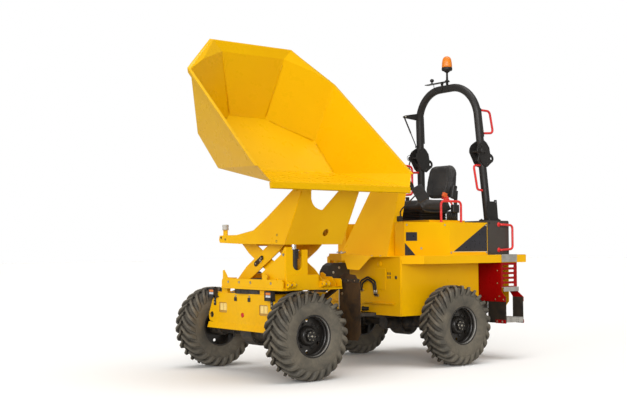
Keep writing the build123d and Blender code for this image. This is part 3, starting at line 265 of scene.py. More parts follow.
# painted reflection: pale diffuse colour for the shine of the silvered headlamp reflectors; painted shade: brown,
# shaded-yellow colour for the lamp rims
REFLECTOR_PAINTED_SHINE = plastic("lamp_pale", (0.93, 0.70, 0.24), 0.25, 300.0, 0.03, (0.90, 0.62, 0.16))
LAMP_RIM_PAINTED_SHADE = plastic("lamp_brown", (0.42, 0.20, 0.015), 0.40, 300.0, 0.05)

# punched aluminium step treads, the punched holes dented and coloured near-black as painted shade
TREAD, nt, b = nodes_of("tread_grey")
tc = nt.nodes.new("ShaderNodeTexCoord")
v = nt.nodes.new("ShaderNodeTexVoronoi"); v.inputs["Scale"].default_value = 48.0
v.inputs["Randomness"].default_value = 0.0
nt.links.new(tc.outputs["Object"], v.inputs["Vector"])
hole_depth_and_shade = maprange(nt, v.outputs["Distance"], 0.20, 0.36)
# painted shade: the holes are coloured near-black
c = mix(nt, hole_depth_and_shade, (0.10, 0.095, 0.085), (0.50, 0.49, 0.46))
c = mix(nt, mul(nt, maprange(nt, noise_tex(nt, 14.0, 6.0), 0.4, 0.7), 0.45), c, (0.24, 0.20, 0.15))
nt.links.new(c, b.inputs["Base Color"])
nt.links.new(bump(nt, hole_depth_and_shade, 0.7, 0.003), b.inputs["Normal"])
nt.links.new(maprange(nt, noise_tex(nt, 25.0, 4.0), 0.3, 0.7, 0.4, 0.62), b.inputs["Roughness"])
b.inputs["Metallic"].default_value = 0.55

# seat covering
SEAT, nt, b = nodes_of("seat_vinyl")
tc = nt.nodes.new("ShaderNodeTexCoord")
v = nt.nodes.new("ShaderNodeTexVoronoi"); v.inputs["Scale"].default_value = 420.0
v.feature = "DISTANCE_TO_EDGE"
nt.links.new(tc.outputs["Object"], v.inputs["Vector"])
n1 = noise_tex(nt, 5.0, 5.0, 0.65, 0.4)
c = mix(nt, maprange(nt, n1, 0.35, 0.75), (0.020, 0.020, 0.021), (0.042, 0.040, 0.038))
c = mix(nt, mul(nt, mul(nt, upward(nt), maprange(nt, noise_tex(nt, 9.0, 6.0, 0.7), 0.4, 0.75)), 0.30), c, (0.16, 0.145, 0.125))
nt.links.new(c, b.inputs["Base Color"])
nt.links.new(maprange(nt, n1, 0.3, 0.75, 0.46, 0.62), b.inputs["Roughness"])
b.inputs["Specular IOR Level"].default_value = 0.26
g2 = bump(nt, maprange(nt, v.outputs["Distance"], 0.0, 0.14), 0.35, 0.0004)
nt.links.new(bump(nt, noise_tex(nt, 26.0, 3.0, 0.6, 0.6), 0.22, 0.004, g2), b.inputs["Normal"])
b.inputs["Sheen Weight"].default_value = 0.12


def lens(name, col, rough=0.12, trans=0.35, emit=0.0):
    m, nt, b = nodes_of(name)
    w = nt.nodes.new("ShaderNodeTexWave"); w.inputs["Scale"].default_value = 28.0
    w.inputs["Distortion"].default_value = 0.2
    tc = nt.nodes.new("ShaderNodeTexCoord")
    nt.links.new(tc.outputs["Object"], w.inputs["Vector"])
    c = mix(nt, maprange(nt, w.outputs["Fac"], 0.2, 0.8), col, tuple(v * 0.78 for v in col))
    nt.links.new(c, b.inputs["Base Color"])
    nt.links.new(bump(nt, w.outputs["Fac"], 0.25, 0.002), b.inputs["Normal"])
    b.inputs["Roughness"].default_value = rough
    b.inputs["Transmission Weight"].default_value = trans
    b.inputs["IOR"].default_value = 1.49
    b.inputs["Coat Weight"].default_value = 0.4
    if emit:
        b.inputs["Emission Color"].default_value = (*col, 1)
        b.inputs["Emission Strength"].default_value = emit
    return m


AMBER = lens("amber_lens", (0.92, 0.25, 0.02), 0.20, 0.15, 0.06)
DOME = plastic("beacon_lens", (0.80, 0.235, 0.012), 0.30, 300.0, 0.03, (0.70, 0.17, 0.008))
GLASS = lens("lamp_glass", (0.93, 0.66, 0.20), 0.16, 0.06)
REDL = lens("tail_lens", (0.60, 0.008, 0.008), 0.14, 0.25, 0.03)
MIRG = metal("mirror_glass", (0.82, 0.84, 0.86), 0.04, 0.0, 3.0, dirty=0.05)

BY_SLOT = {"yellow_paint": YEL, "chassis_black": BLK, "tyre": TYRE, "rim_grey": RIMP, "pin_steel": STEEL, "flap_rubber": FLAP, "lamp_glass": GLASS,
           "amber_lens": AMBER, "ram_black": BLK, "rod_chrome": CHROME, "engine_iron": IRON, "dark_grey_paint": DGREY, "red_paint": RED,
           "tread_grey": TREAD, "black_plastic": PLA, "seat_vinyl": SEAT}
SPECIAL = {"skip": YEL_SKIP, "rops_legs": BAR, "rops_hoop": BAR, "skip_buffers": PADR, "grab_handles": REDH, "hoop_handle": REDH, "mirror": PLA, "beacon": PLA, "step_straps": STRAP, "hydraulic_hoses": HOSE, "headlamps": GLASS}
for r in frame["record"]["subparts"]:
    o = N[r["node"]]
    mt = SPECIAL.get(r["node"]) or BY_SLOT[r["material_slot"]]
    o.data.materials.clear()
    o.data.materials.append(mt)


# ================================================================ mesh helpers
PIECES = {}


class Part:
    """Collects many small solids on one body, in one material, as one joined mesh. Machine axes, metres."""

    def __init__(self, name, body, mat, slot):
        self.name, self.body, self.mat, self.slot = name, body, mat, slot
        self.bm = bmesh.new()
        PIECES[name] = self

    def add(self, bm, smooth=False):
        for f in bm.faces:
            f.smooth = smooth
        me = bpy.data.meshes.new("t")
        bm.to_mesh(me)
        bm.free()
        self.bm.from_mesh(me)
        bpy.data.meshes.remove(me)

    def box(self, x0, x1, y0, y1, z0, z1, bev=0.003, seg=2, rot=None, pivot=None):
        bm = bmesh.new()
        bmesh.ops.create_cube(bm, size=1.0)
        bmesh.ops.scale(bm, vec=(abs(x1 - x0), abs(y1 - y0), abs(z1 - z0)), verts=bm.verts)
        if bev:
            bev = min(bev, 0.45 * min(abs(x1 - x0), abs(y1 - y0), abs(z1 - z0)))
            bmesh.ops.bevel(bm, geom=list(bm.edges), offset=bev, segments=seg, affect="EDGES", profile=0.5)
        c = Vector(((x0 + x1) / 2, (y0 + y1) / 2, (z0 + z1) / 2))
        bmesh.ops.translate(bm, vec=c, verts=bm.verts)
        if rot is not None:
            p = Vector(pivot) if pivot else c
            bmesh.ops.rotate(bm, cent=p, matrix=rot, verts=bm.verts)
        self.add(bm)

    def prism(self, axis, pts, lo, hi, bev=0.002):
        bm = bmesh.new()
        f = {"x": lambda a, b, c: (c, a, b), "y": lambda a, b, c: (a, c, b), "z": lambda a, b, c: (a, b, c)}[axis]
        vs = [bm.verts.new(f(a, b, lo)) for a, b in pts]
        ws = [bm.verts.new(f(a, b, hi)) for a, b in pts]
        k = len(pts)
        bm.faces.new(vs); bm.faces.new(list(reversed(ws)))
        for i in range(k):
            bm.faces.new((vs[i], ws[i], ws[(i + 1) % k], vs[(i + 1) % k]))
        bmesh.ops.recalc_face_normals(bm, faces=bm.faces)
        if bev:
            bmesh.ops.bevel(bm, geom=list(bm.edges), offset=bev, segments=2, affect="EDGES", profile=0.5)
        self.add(bm)

    def frame(self, n):
        n = Vector(n).normalized()
        t = Vector((0, 0, 1)) if abs(n.z) < 0.9 else Vector((1, 0, 0))
        u = n.cross(t).normalized()
        return n, u, n.cross(u)

    def lathe(self, p, n, prof, seg=24, smooth=True, phase=0.0, ring=False):
        """prof: (along the axis, radius) pairs, closed at both ends, or joined end to start for a ring."""
        p = Vector(p)
        n, u, w = self.frame(n)
        bm = bmesh.new()
        rings = []
        for a, r in prof:
            if r < 1e-6:
                rings.append([bm.verts.new(p + n * a)])
            else:
                rings.append([bm.verts.new(p + n * a + (u * math.cos(phase + 2 * math.pi * k / seg) + w * math.sin(phase + 2 * math.pi * k / seg)) * r) for k in range(seg)])
        for A, B in zip(rings, rings[1:] + (rings[:1] if ring else [])):
            for k in range(seg):
                if len(A) == 1 and len(B) == 1:
                    continue
                if len(A) == 1:
                    bm.faces.new((A[0], B[k], B[(k + 1) % seg]))
                elif len(B) == 1:
                    bm.faces.new((A[k], A[(k + 1) % seg], B[0]))
                else:
                    bm.faces.new((A[k], A[(k + 1) % seg], B[(k + 1) % seg], B[k]))
        for R_, e in () if ring else ((rings[0], 0), (rings[-1], 1)):
            if len(R_) > 1:
                bm.faces.new(R_ if e else list(reversed(R_)))
        bmesh.ops.recalc_face_normals(bm, faces=bm.faces)
        self.add(bm, smooth)

    def bolt(self, p, n, r=0.010, h=0.007, washer=1.5, phase=0.3):
        w = 0.0018
        if washer:
            self.lathe(p, n, [(-0.001, r * washer), (w, r * washer)], 20, False)
        self.lathe(p, n, [(0, r), (w + h * 0.85, r), (w + h, r * 0.86)], 6, False, phase)

    def tube(self, pts, r, seg=14, sm=3, closed_ends=True):
        """Tube along a smooth line through the points."""
        P = [Vector(q) for q in pts]
        if sm > 1 and len(P) > 2:
            Q = []
            for i in range(len(P) - 1):
                p0 = P[max(i - 1, 0)]; p1 = P[i]; p2 = P[i + 1]; p3 = P[min(i + 2, len(P) - 1)]
                for k in range(sm):
                    t = k / sm
                    Q.append(0.5 * ((2 * p1) + (p2 - p0) * t + (2 * p0 - 5 * p1 + 4 * p2 - p3) * t * t + (3 * p1 - p0 - 3 * p2 + p3) * t ** 3))
            Q.append(P[-1])
            P = Q
        bm = bmesh.new()
        d0 = (P[1] - P[0]).normalized()
        n, u, w = self.frame(d0)
        rings = []
        for i, q in enumerate(P):
            d = (P[min(i + 1, len(P) - 1)] - P[max(i - 1, 0)]).normalized()
            u = (u - d * u.dot(d)).normalized()
            w = d.cross(u)
            rings.append([bm.verts.new(q + (u * math.cos(2 * math.pi * k / seg) + w * math.sin(2 * math.pi * k / seg)) * r) for k in range(seg)])
        for A, B in zip(rings, rings[1:]):
            for k in range(seg):
                bm.faces.new((A[k], A[(k + 1) % seg], B[(k + 1) % seg], B[k]))
        bm.faces.new(list(reversed(rings[0]))); bm.faces.new(rings[-1])
        bmesh.ops.recalc_face_normals(bm, faces=bm.faces)
        self.add(bm, True)

    def finish(self):
        me = bpy.data.meshes.new(self.name)
        self.bm.to_mesh(me)
        self.bm.free()
        o = bpy.data.objects.new(self.name, me)
        bpy.context.scene.collection.objects.link(o)
        o.location = (OFF.x, OFF.y, 0)
        bpy.context.view_layer.update()
        me.transform(Matrix.Translation(o.location)); o.location = (0, 0, 0)
        me.materials.append(self.mat)
        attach(o, self.body)
        return o


def mesh_object(name, me, mat, body, move=True):
    o = bpy.data.objects.new(name, me)
    bpy.context.scene.collection.objects.link(o)
    if move:
        me.transform(Matrix.Translation((OFF.x, OFF.y, 0)))
    me.materials.clear()
    me.materials.append(mat)
    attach(o, body)
    return o


# ================================================================ tyres
def tyre_mesh():
    bm = bmesh.new()
    prof = [(0, .3955), (.045, .395), (.085, .391), (.108, .380), (.124, .362), (.1330, .345), (.1375, .330), (.1405, .314),
            (.1420, .298), (.1418, .282), (.1404, .267), (.1382, .253), (.1352, .240), (.1320, .229), (.1290, .220), (.1265, .213), (.1245, .2075), (.1232, .2040), (.1160, .2005)]
    P = [(y, r) for y, r in prof] + [(-y, r) for y, r in reversed(prof[1:])]
    seg = 112
    rings = []
    for k in range(seg):
        a = 2 * math.pi * k / seg
        rings.append([bm.verts.new((math.cos(a) * r, y, math.sin(a) * r)) for y, r in P])
    for k in range(seg):
        A, B = rings[k], rings[(k + 1) % seg]
        for i in range(len(P)):
            j = (i + 1) % len(P)
            bm.faces.new((A[i], A[j], B[j], B[i]))
    bmesh.ops.recalc_face_normals(bm, faces=bm.faces)
    for f in bm.faces:
        f.smooth = True
    NL = 26
    top = [(.002, .4222), (.032, .4219), (.062, .4212), (.090, .4200), (.1145, .4165), (.1320, .4040), (.1425, .3800), (.1450, .3520), (.1442, .3290)]
    low = [(.002, .3900), (.032, .3890), (.062, .3870), (.083, .3840), (.100, .3730), (.1150, .3600), (.1270, .3450), (.1340, .3340), (.1375, .3200)]
    rnd = random.Random(4)
    lug = bmesh.new()
    for s in (-1, 1):
        for k in range(NL):
            a0 = 2 * math.pi * (k + (0.5 if s < 0 else 0.0)) / NL
            rows = []
            jit = rnd.uniform(-0.004, 0.004)
            for i, ((yt, rt), (yl, rl)) in enumerate(zip(top, low)):
                t = i / (len(top) - 1)
                a = a0 - 0.35 * (t ** 0.85) + jit
                wt = (0.0125 + 0.0055 * t) / rt
                wl = (0.0205 + 0.0075 * t) / rl
                if i == 0:
                    wt *= 0.9
                rt -= 0.0006 + 0.0004 * rnd.random()
                row = []
                for r, y, w in ((rl, yl, -wl), (rt, yt, -wt), (rt, yt, wt), (rl, yl, wl)):
                    row.append(lug.verts.new((math.cos(a + w) * r, s * y, math.sin(a + w) * r)))
                rows.append(row)
            for A, B in zip(rows, rows[1:]):
                for i in range(4):
                    j = (i + 1) % 4
                    lug.faces.new((A[i], A[j], B[j], B[i]))
            lug.faces.new(rows[0]); lug.faces.new(list(reversed(rows[-1])))
    bmesh.ops.recalc_face_normals(lug, faces=lug.faces)
    lip = [e for e in lug.edges if e.calc_face_angle(0) > 0.7]
    bmesh.ops.bevel(lug, geom=lip, offset=0.0028, segments=2, affect="EDGES", profile=0.6)
    t = bpy.data.meshes.new("t"); lug.to_mesh(t); lug.free()
    bm.from_mesh(t); bpy.data.meshes.remove(t)
    # points beyond the CAD tyre's outer radius are pulled back onto it; nothing may
    # stand proud of the CAD tyre
    for v in bm.verts:
        r = math.hypot(v.co.x, v.co.z)
        if r > 0.4222:
            v.co.x *= 0.4222 / r; v.co.z *= 0.4222 / r
    me = bpy.data.meshes.new("tyre")
    bm.to_mesh(me); bm.free()
    return me


TY = tyre_mesh()
AX, WY, AZ = 0.994, 0.8135, 0.4225
WHEELS = (("front_left", 1, 1, 0.10), ("front_right", 1, -1, 0.21), ("rear_left", -1, 1, 0.16), ("rear_right", -1, -1, 0.05))
for name, sx, sy, ph in WHEELS:
    me = TY.copy()
    me.transform(Matrix.Translation((sx * AX, sy * WY, AZ)) @ Matrix.Rotation(ph, 4, "Y"))
    o = mesh_object(name + "_lugged_tyre", me, TYRE, name + "_wheel")
    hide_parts(name + "_tyre")
bpy.data.meshes.remove(TY)

# wheel nuts, hub bolts, rim lips and valves
for name, sx, sy, ph in WHEELS:
    cx, cy = sx * AX, sy * WY
    nb = Part(name + "_nuts", name + "_wheel", DARKB, "pin_steel")
    for k in range(6):
        a = ph + math.pi * k / 3
        c, s = math.cos(a), math.sin(a)
        nb.bolt((cx + 0.120 * c, cy + sy * 0.0142, AZ + 0.120 * s), (0, sy, 0), 0.0145, 0.015, 1.5, a)
        nb.lathe((cx + 0.120 * c, cy + sy * 0.029, AZ + 0.120 * s), (0, sy, 0), [(0, 0.008), (0.010, 0.008), (0.012, 0.006)], 12)
    for k in range(8):
        a = ph + math.pi * (k + 0.5) / 4
        nb.bolt((cx + 0.062 * math.cos(a), cy + sy * 0.0660, AZ + 0.062 * math.sin(a)), (0, sy, 0), 0.0070, 0.006, 1.3, a)
    hubp = Part(name + "_hub_cap", name + "_wheel", RIMP, "rim_grey")
    hubp.lathe((cx, cy + sy * 0.0842, AZ), (0, sy, 0), [(-0.003, 0.0485), (0.004, 0.046), (0.010, 0.036), (0.010, 0.030), (0.006, 0.028), (0.006, 0.014), (0.013, 0.012), (0.013, 0)], 32)
    # swept face of the hub drum between the wheel nuts and the cap
    hubp.lathe((cx, cy, AZ), (0, sy, 0), [(0.0345, 0.0960), (0.0400, 0.0945), (0.0480, 0.0860), (0.0600, 0.0800), (0.0660, 0.0740), (0.0660, 0.0470), (0.0345, 0.0470)], 48, ring=True)
    # drop-centre step of the barrel, dark, and its lighter lip
    hubp.lathe((cx, cy, AZ), (0, sy, 0), [(0.030, 0.1883), (0.030, 0.1790), (0.052, 0.1780), (0.066, 0.1840), (0.066, 0.1883)], 72, ring=True)
    rl_ = Part(name + "_rim_lip", name + "_wheel", RIML, "rim_grey")
    rl_.lathe((cx, cy, AZ), (0, sy, 0), [(0.084, 0.1884), (0.084, 0.1872), (0.1185, 0.1872), (0.1205, 0.1884)], 72, ring=True)
    hubp.lathe((cx, cy, AZ), (0, sy, 0), [(0.1195, 0.1884), (0.1212, 0.1876), (0.1236, 0.1900), (0.1240, 0.1985), (0.1226, 0.2020), (0.1212, 0.2020), (0.1212, 0.1884)], 72, ring=True)
    hubs = Part(name + "_hub_bolts", name + "_wheel", ZINC, "pin_steel")
    hubs.lathe((cx, cy + sy * 0.0965, AZ), (0, sy, 0), [(0, 0.0105), (0.0035, 0.0105), (0.0050, 0.0080), (0.0050, 0)], 20)
    for k in range(6):
        a = ph + math.pi * k / 3
        hubs.bolt((cx + 0.0385 * math.cos(a), cy + sy * 0.0880, AZ + 0.0385 * math.sin(a)), (0, sy, 0), 0.0052, 0.0045, 1.4, a)
    hubs.lathe((cx + 0.165 * math.cos(ph + 1), cy + sy * 0.03, AZ + 0.165 * math.sin(ph + 1)), (0, sy, 0), [(-0.01, 0.006), (0.03, 0.005), (0.042, 0.004), (0.042, 0)], 10)

# ================================================================ front unit
f = Part("bumper_bolts", "front_unit", ZINC, "pin_steel")
for y in (-.43, -.30, -.06, .06, .30, .43):
    f.bolt((1.10, y, 0.8005), (0, 0, 1), 0.009, 0.007, 1.6)
for s in (-1, 1):
    f.bolt((1.1735, s * 0.122, 0.775), (1, 0, 0), 0.008, 0.006)
    f.bolt((1.1795, s * 0.514, 0.697), (1, 0, 0), 0.007, 0.005)
    f.bolt((1.1795, s * 0.514, 0.727), (1, 0, 0), 0.007, 0.005)
q = Part("bumper_plug", "front_unit", REFL, "red_paint")
q.lathe((1.173, 0, 0.585), (1, 0, 0), [(-0.006, 0.0168), (0.0002, 0.0168), (0.0002, 0.0245), (0.0045, 0.0240), (0.0065, 0.016), (0.0055, 0.0)], 28)
k = Part("bumper_black_bits", "front_unit", PLA, "black_plastic")
for s in (-1, 1):
    k.box(1.1732, 1.1835, s * 0.122 - 0.021, s * 0.122 + 0.021, 0.722, 0.762, 0.004)
    # dark frame round the indicator lens, and a black disc in each of the bumper's side holes as painted shade for its
    # dark inside
    for (y0, y1, z0, z1) in ((-.0580, -.0430, .7460, .8420), (.0430, .0580, .7460, .8420), (-.0580, .0580, .7460, .7740), (-.0580, .0580, .8270, .8420)):
        k.box(1.2100, 1.2258, s * 0.514 + y0, s * 0.514 + y1, z0, z1, 0.002)
    # painted shade: thin black disc set inside the side hole
    k.lathe((1.1655, s * 0.575, 0.567), (1, 0, 0), [(-0.004, 0.0238), (-0.003, 0.0238), (-0.003, 0)], 24)
    k.lathe((1.173, s * 0.575, 0.567), (1, 0, 0), [(-0.003, 0.0238), (0.0002, 0.0238), (0.0002, 0.0300), (0.0030, 0.0295), (0.0030, 0.0215), (-0.003, 0.0215)], 32, ring=True)
k.box(1.1732, 1.1765, -0.50, -0.44, 0.748, 0.760, 0.001)
# the pale reflectors are painted reflection; the brown rim round each lamp and the strip under its reflectors are
# painted shade
rf = Part("headlamp_reflectors", "front_unit", REFLECTOR_PAINTED_SHINE, "lamp_glass")
ry = Part("headlamp_frames_and_shade", "front_unit", LAMP_RIM_PAINTED_SHADE, "lamp_glass")
for s in (-1, 1):
    for dy in (-0.032, 0.032):
        rf.box(1.1640, 1.1668, s * 0.366 + dy - 0.021, s * 0.366 + dy + 0.021, 0.619, 0.690, 0.012, 4)
    for (y0, y1, z0, z1) in ((-.076, -.0700, -.053, .053), (.0700, .076, -.053, .053), (-.076, .076, -.053, -.0460), (-.076, .076, .0460, .053)):
        ry.box(1.1642, 1.1700, s * 0.366 + y0, s * 0.366 + y1, 0.648 + z0, 0.648 + z1, 0.002)
    ry.box(1.1642, 1.1672, s * 0.366 - 0.066, s * 0.366 + 0.066, 0.606, 0.617, 0.001)
il = Part("indicator_clear", "front_unit", WHITE, "lamp_glass")
ia = Part("indicator_amber", "front_unit", AMBER, "amber_lens")
ip = Part("indicator_back", "front_unit", PLA, "black_plastic")
for s in (-1, 1):
    ip.box(1.2115, 1.2150, s * 0.514 - 0.050, s * 0.514 + 0.050, 0.752, 0.838, 0.001)
    il.box(1.2140, 1.2230, s * 0.514 - 0.040, s * 0.514 + 0.040, 0.778, 0.800, 0.003)
    ia.box(1.2140, 1.2240, s * 0.514 - 0.040, s * 0.514 + 0.040, 0.803, 0.830, 0.004)
w = Part("front_frame_welds", "front_unit", YEL, "yellow_paint")
for s in (-1, 1):
    w.tube([(1.1600, s * 0.5105, 0.8010), (0.80, s * 0.462, 0.8010), (0.42, s * 0.4205, 0.8010)], 0.0045, 8, 2)
    w.prism("x", [(s * 0.300, 0.600), (s * 0.300, 0.700), (s * 0.20, 0.790), (s * 0.13, 0.790)], 1.085, 1.093, 0.001)
# axle details: hub reduction rings, diff cover, brake pipe clips
ax = Part("front_axle_details", "front_unit", BLK, "chassis_black")
axb = Part("front_axle_bolts", "front_unit", DARKB, "pin_steel")
ra = Part("rear_axle_details", "rear_unit", BLK, "chassis_black")
rab = Part("rear_axle_bolts", "rear_unit", DARKB, "pin_steel")
for P_, B_, sx, zb in ((ax, axb, 1, 0.520), (ra, rab, -1, 0.500)):
    x = sx * AX
    for s in (-1, 1):
        P_.lathe((x, s * 0.600, AZ), (0, s, 0), [(0, 0.0585), (0, 0.078), (0.018, 0.080), (0.070, 0.090), (0.088, 0.093), (0.090, 0.0585)], 36, ring=True)
        for j in range(8):
            a = 2 * math.pi * j / 8
            B_.bolt((x + 0.083 * math.cos(a), s * 0.6895, AZ + 0.083 * math.sin(a)), (0, -s, 0), 0.007, 0.006)
        P_.lathe((x, s * 0.0955, AZ), (0, s, 0), [(0, 0.120), (0.040, 0.085), (0.10, 0.066), (0.16, 0.0585), (0.16, 0.050), (0, 0.050)], 36, ring=True)
        P_.box(x - 0.085, x + 0.085, s * 0.285 - 0.055, s * 0.285 + 0.055, zb - 0.018, zb - 0.002, 0.004)
        for dx in (-0.062, 0.062):
            P_.tube([(x + dx, s * 0.335, zb), (x + dx, s * 0.335, AZ - 0.05), (x + dx * 0.9, s * 0.335, AZ - 0.078)], 0.009, 10, 2)
    for j in range(10):
        a = 2 * math.pi * j / 10
        B_.bolt((x + 0.128 * math.cos(a), 0.0955, AZ + 0.128 * math.sin(a)), (0, 1, 0), 0.007, 0.006)
        B_.bolt((x + 0.128 * math.cos(a), -0.0955, AZ + 0.128 * math.sin(a)), (0, -1, 0), 0.007, 0.006)
mb = Part("mudflap_bolts", "front_unit", ZINC, "pin_steel")
for s in (-1, 1):
    for y, z in ((0.70, 0.93), (0.80, 0.93), (0.90, 0.93), (0.70, 0.80)):
        mb.bolt((0.4605, s * y, z), (1, 0, 0), 0.008, 0.005, 2.0)
        mb.bolt((0.4515, s * y, z), (-1, 0, 0), 0.008, 0.005, 2.0)
fl = Part("mudflap_strips", "front_unit", BLK, "chassis_black")
for s in (-1, 1):
    fl.box(0.4445, 0.4515, s * 0.675, s * 0.955, 0.912, 0.948, 0.002)
    fl.box(0.4605, 0.4645, s * 0.675, s * 0.955, 0.912, 0.948, 0.001)
# ring bolts
rb = Part("ring_bolts", "front_unit", DARKB, "pin_steel")
for j in range(20):
    a = 2 * math.pi * j / 20
    rb.bolt((XT + 0.3455 * math.cos(a), 0.3455 * math.sin(a), 0.822), (math.cos(a), math.sin(a), 0), 0.007, 0.004, 0)

# ================================================================ swivel base, tower, arms, upper frame
sb = Part("swivel_bolts", "swivel", ZINC, "pin_steel")
for y in (-0.20, 0.0, 0.20, 0.55):
    for s in (-1, 1):
        sb.bolt((XT + s * 0.3575, y, 0.915), (s, 0, 0), 0.009, 0.006)
sb.bolt((XT + 0.3175, 0.703, 1.189), (1, 0, 0), 0.010, 0.008)
sb.bolt((XT + 0.3175, 0.640, 0.935), (1, 0, 0), 0.009, 0.006)
for ex in (-0.1375, 0.2725):
    for dd in (-0.042, 0.042):
        sb.bolt((XT + ex + (dd if abs(dd) > 0.04 else 0), 0.778, 0.905), (1 if dd > 0 else -1, 0, 0), 0.009, 0.007)
    sb.lathe((XT + ex - 0.040, 0.778, 0.905), (1, 0, 0), [(0, 0.0105), (0.080, 0.0105)], 16)
sw = Part("swivel_welds", "swivel", YEL, "yellow_paint")
sw.tube([(XT - 0.34, 0.7465, 0.870), (XT - 0.07, 0.7465, 0.870)], 0.004, 8, 1)
sw.tube([(XT + 0.3185, 0.345, 0.870), (XT + 0.3185, 0.728, 0.870)], 0.004, 8, 1)
sw.tube([(XT + 0.3185, 0.7255, 0.875), (XT + 0.3185, 0.7255, 1.225)], 0.0035, 8, 1)
sl = Part("lift_ram_port", "swivel", BLK, "chassis_black")
sl.lathe((XT + 0.183, 0.686, 1.195), (0, 1, 0), [(0.044, 0.014), (0.060, 0.014), (0.062, 0.011)], 6, False)
ap = Part("arm_pad", "arm_a", FLAP, "flap_rubber")
apb = Part("arm_pad_bolts", "arm_a", ZINC, "pin_steel")
a_, b_ = Vector((0, 0.096, 1.083)), Vector((0, 0.245, 1.168))
d = (b_ - a_).normalized()
n_ = Vector((0, -d.z, d.y))
for sgn in (1, -1):
    pts = []
    for cc, st in ((b_ - d * 0.024, -90), (a_ + d * 0.024, 90)):
        for j in range(9):
            t = math.radians(st + j * 22.5)
            q_ = cc + d * (0.024 * math.cos(t)) + n_ * (0.024 * math.sin(t))
            pts.append((q_.y, q_.z))
    if sgn == 1:
        ap.prism("x", pts, XT + 0.2315, XT + 0.2425, 0.002)
        for tt in (0.18, 0.82):
            q_ = a_.lerp(b_, tt)
            apb.bolt((XT + 0.2425, q_.y, q_.z), (1, 0, 0), 0.0065, 0.004, 1.5)
for s in (-1, 1):
    apb.bolt((XT + s * 0.2395, 0.2061, 1.135), (s, 0, 0), 0.014, 0.010, 1.6)
ub = Part("upper_frame_bolts", "upper", DARKB, "pin_steel")
for s in (-1, 1):
    for y, z in ((0.624, 1.318), (0.633, 1.377)):
        ub.lathe((XT + s * 0.3412, y, z), (s, 0, 0), [(-0.001, 0.012), (0.0012, 0.012), (0.0012, 0.009), (-0.0005, 0.008), (-0.0005, 0)], 20)
    ub.lathe((XT + s * 0.3412, -0.28, 1.344), (s, 0, 0), [(-0.001, 0.011), (0.0012, 0.011), (0.0012, 0.008), (-0.0005, 0)], 18)
    ub.bolt((XT + s * 0.3415, -0.357, 1.362), (s, 0, 0), 0.008, 0.006)
uy = Part("upper_frame_yellow", "upper", YEL, "yellow_paint")
for s in (-1, 1):
    uy.box(XT + s * 0.335 - 0.030, XT + s * 0.335 + 0.030, -0.318, -0.252, 1.4390, 1.4400, 0.0004)
    uy.tube([(XT + s * 0.3420, 0.7605, 1.292), (XT + s * 0.3420, 1.030, 1.785)], 0.0035, 8, 1)
    uy.tube([(XT + s * 0.3285, -0.30, 1.3845), (XT + s * 0.3285, -0.07, 1.3845), (XT + s * 0.3285, 0.22, 1.4255)], 0.003, 8, 1)
bfz = Part("skip_buffer_caps", "upper", PADR, "flap_rubber")
for s in (-1, 1):
    bfz.lathe((XT + s * 0.335, -0.285, 1.4400), (0, 0, 1), [(0, 0.0305), (0.012, 0.033), (0.026, 0.0305), (0.040, 0.033), (0.0495, 0.0325), (0.0535, 0.028), (0.0535, 0)], 32)

# hinge pin caps on the skip, and welded seams inside it
sk = Part("skip_pins", "skip_body", ZINC, "pin_steel")
for s in (-1, 1):
    sk.bolt((XT + s * 0.3562, 0.950, 1.815), (s, 0, 0), 0.010, 0.007, 1.8)
P8 = {"lip": (1.235, 1.838, .820), "m0": (1.150, 1.981, .912), "m1": (-.030, 3.016, .890), "m2": (-.262, 3.388, .498), "bend": (-.252, 3.270, .390),
      "rear": (-.382, 2.632, .226), "side": (-.161, 2.4006, .729), "knee": (.190, 2.033, .713)}
CEN = Vector((XT, 0.35, 2.45))


def sp(key, s, inward=0.0):
    y, z, h = P8[key]
    p = Vector((XT + s * h, y, z))
    return p + (CEN - p).normalized() * inward


SEAMS = [("knee", "side"), ("side", "rear"), ("rear", "bend"), ("side", "m1"), ("lip", "knee"), ("knee", "m0"), ("side", "m0"), ("rear", "m1"), ("bend", "m1")]
wl = Part("skip_welds", "skip_body", YEL_SKIP, "yellow_paint")
for s in (-1, 1):
    for a, b in SEAMS[:3]:
        pa, pb = sp(a, s), sp(b, s)
        q0, q1 = pa.lerp(pb, 0.04), pa.lerp(pb, 0.92)
        wl.tube([q0 + (CEN - q0).normalized() * 0.0075, q1 + (CEN - q1).normalized() * 0.0075], 0.0035, 8, 1)
# ram head and fittings
tr = Part("tip_ram_fittings", "tip_barrel", BLK, "chassis_black")
g_ = Vector((XT, 0.720, 1.325)); e_ = Vector((XT, 0.680, 1.890)); u_ = (e_ - g_).normalized()
tr.lathe(g_ + u_ * 0.290, u_, [(0, 0.0375), (0, 0.043), (0.026, 0.043), (0.030, 0.040), (0.030, 0.0375)], 32, ring=True)
tr.lathe(g_ + u_ * 0.060 + Vector((0, -0.037, 0)), (0, -1, 0), [(0, 0.010), (0.020, 0.010), (0.022, 0.008)], 6, False)
tr.lathe(g_ + u_ * 0.275 + Vector((0, -0.037, 0)), (0, -1, 0), [(0, 0.010), (0.020, 0.010), (0.022, 0.008)], 6, False)

# ================================================================ yoke and centre
cb = Part("yoke_bolts", "front_unit", ZINC, "pin_steel")
for s in (-1, 1):
    for x, z in ((0.06, 0.99), (0.10, 0.93), (-0.02, 1.04), (0.27, 0.70)):
        cb.bolt((x, s * 0.0605, z), (0, s, 0), 0.009, 0.007)
nb = Part("nose_bolts", "rear_unit", ZINC, "pin_steel")
for j in range(4):
    a = math.pi / 4 + j * math.pi / 2
    nb.bolt((-0.100 + 0.038 * math.cos(a), 0.038 * math.sin(a), 1.206), (0, 0, 1), 0.007, 0.005, 1.3)
nb.lathe((-0.100, 0, 1.206), (0, 0, 1), [(0, 0.006), (0.010, 0.005), (0.014, 0.004), (0.014, 0)], 10)

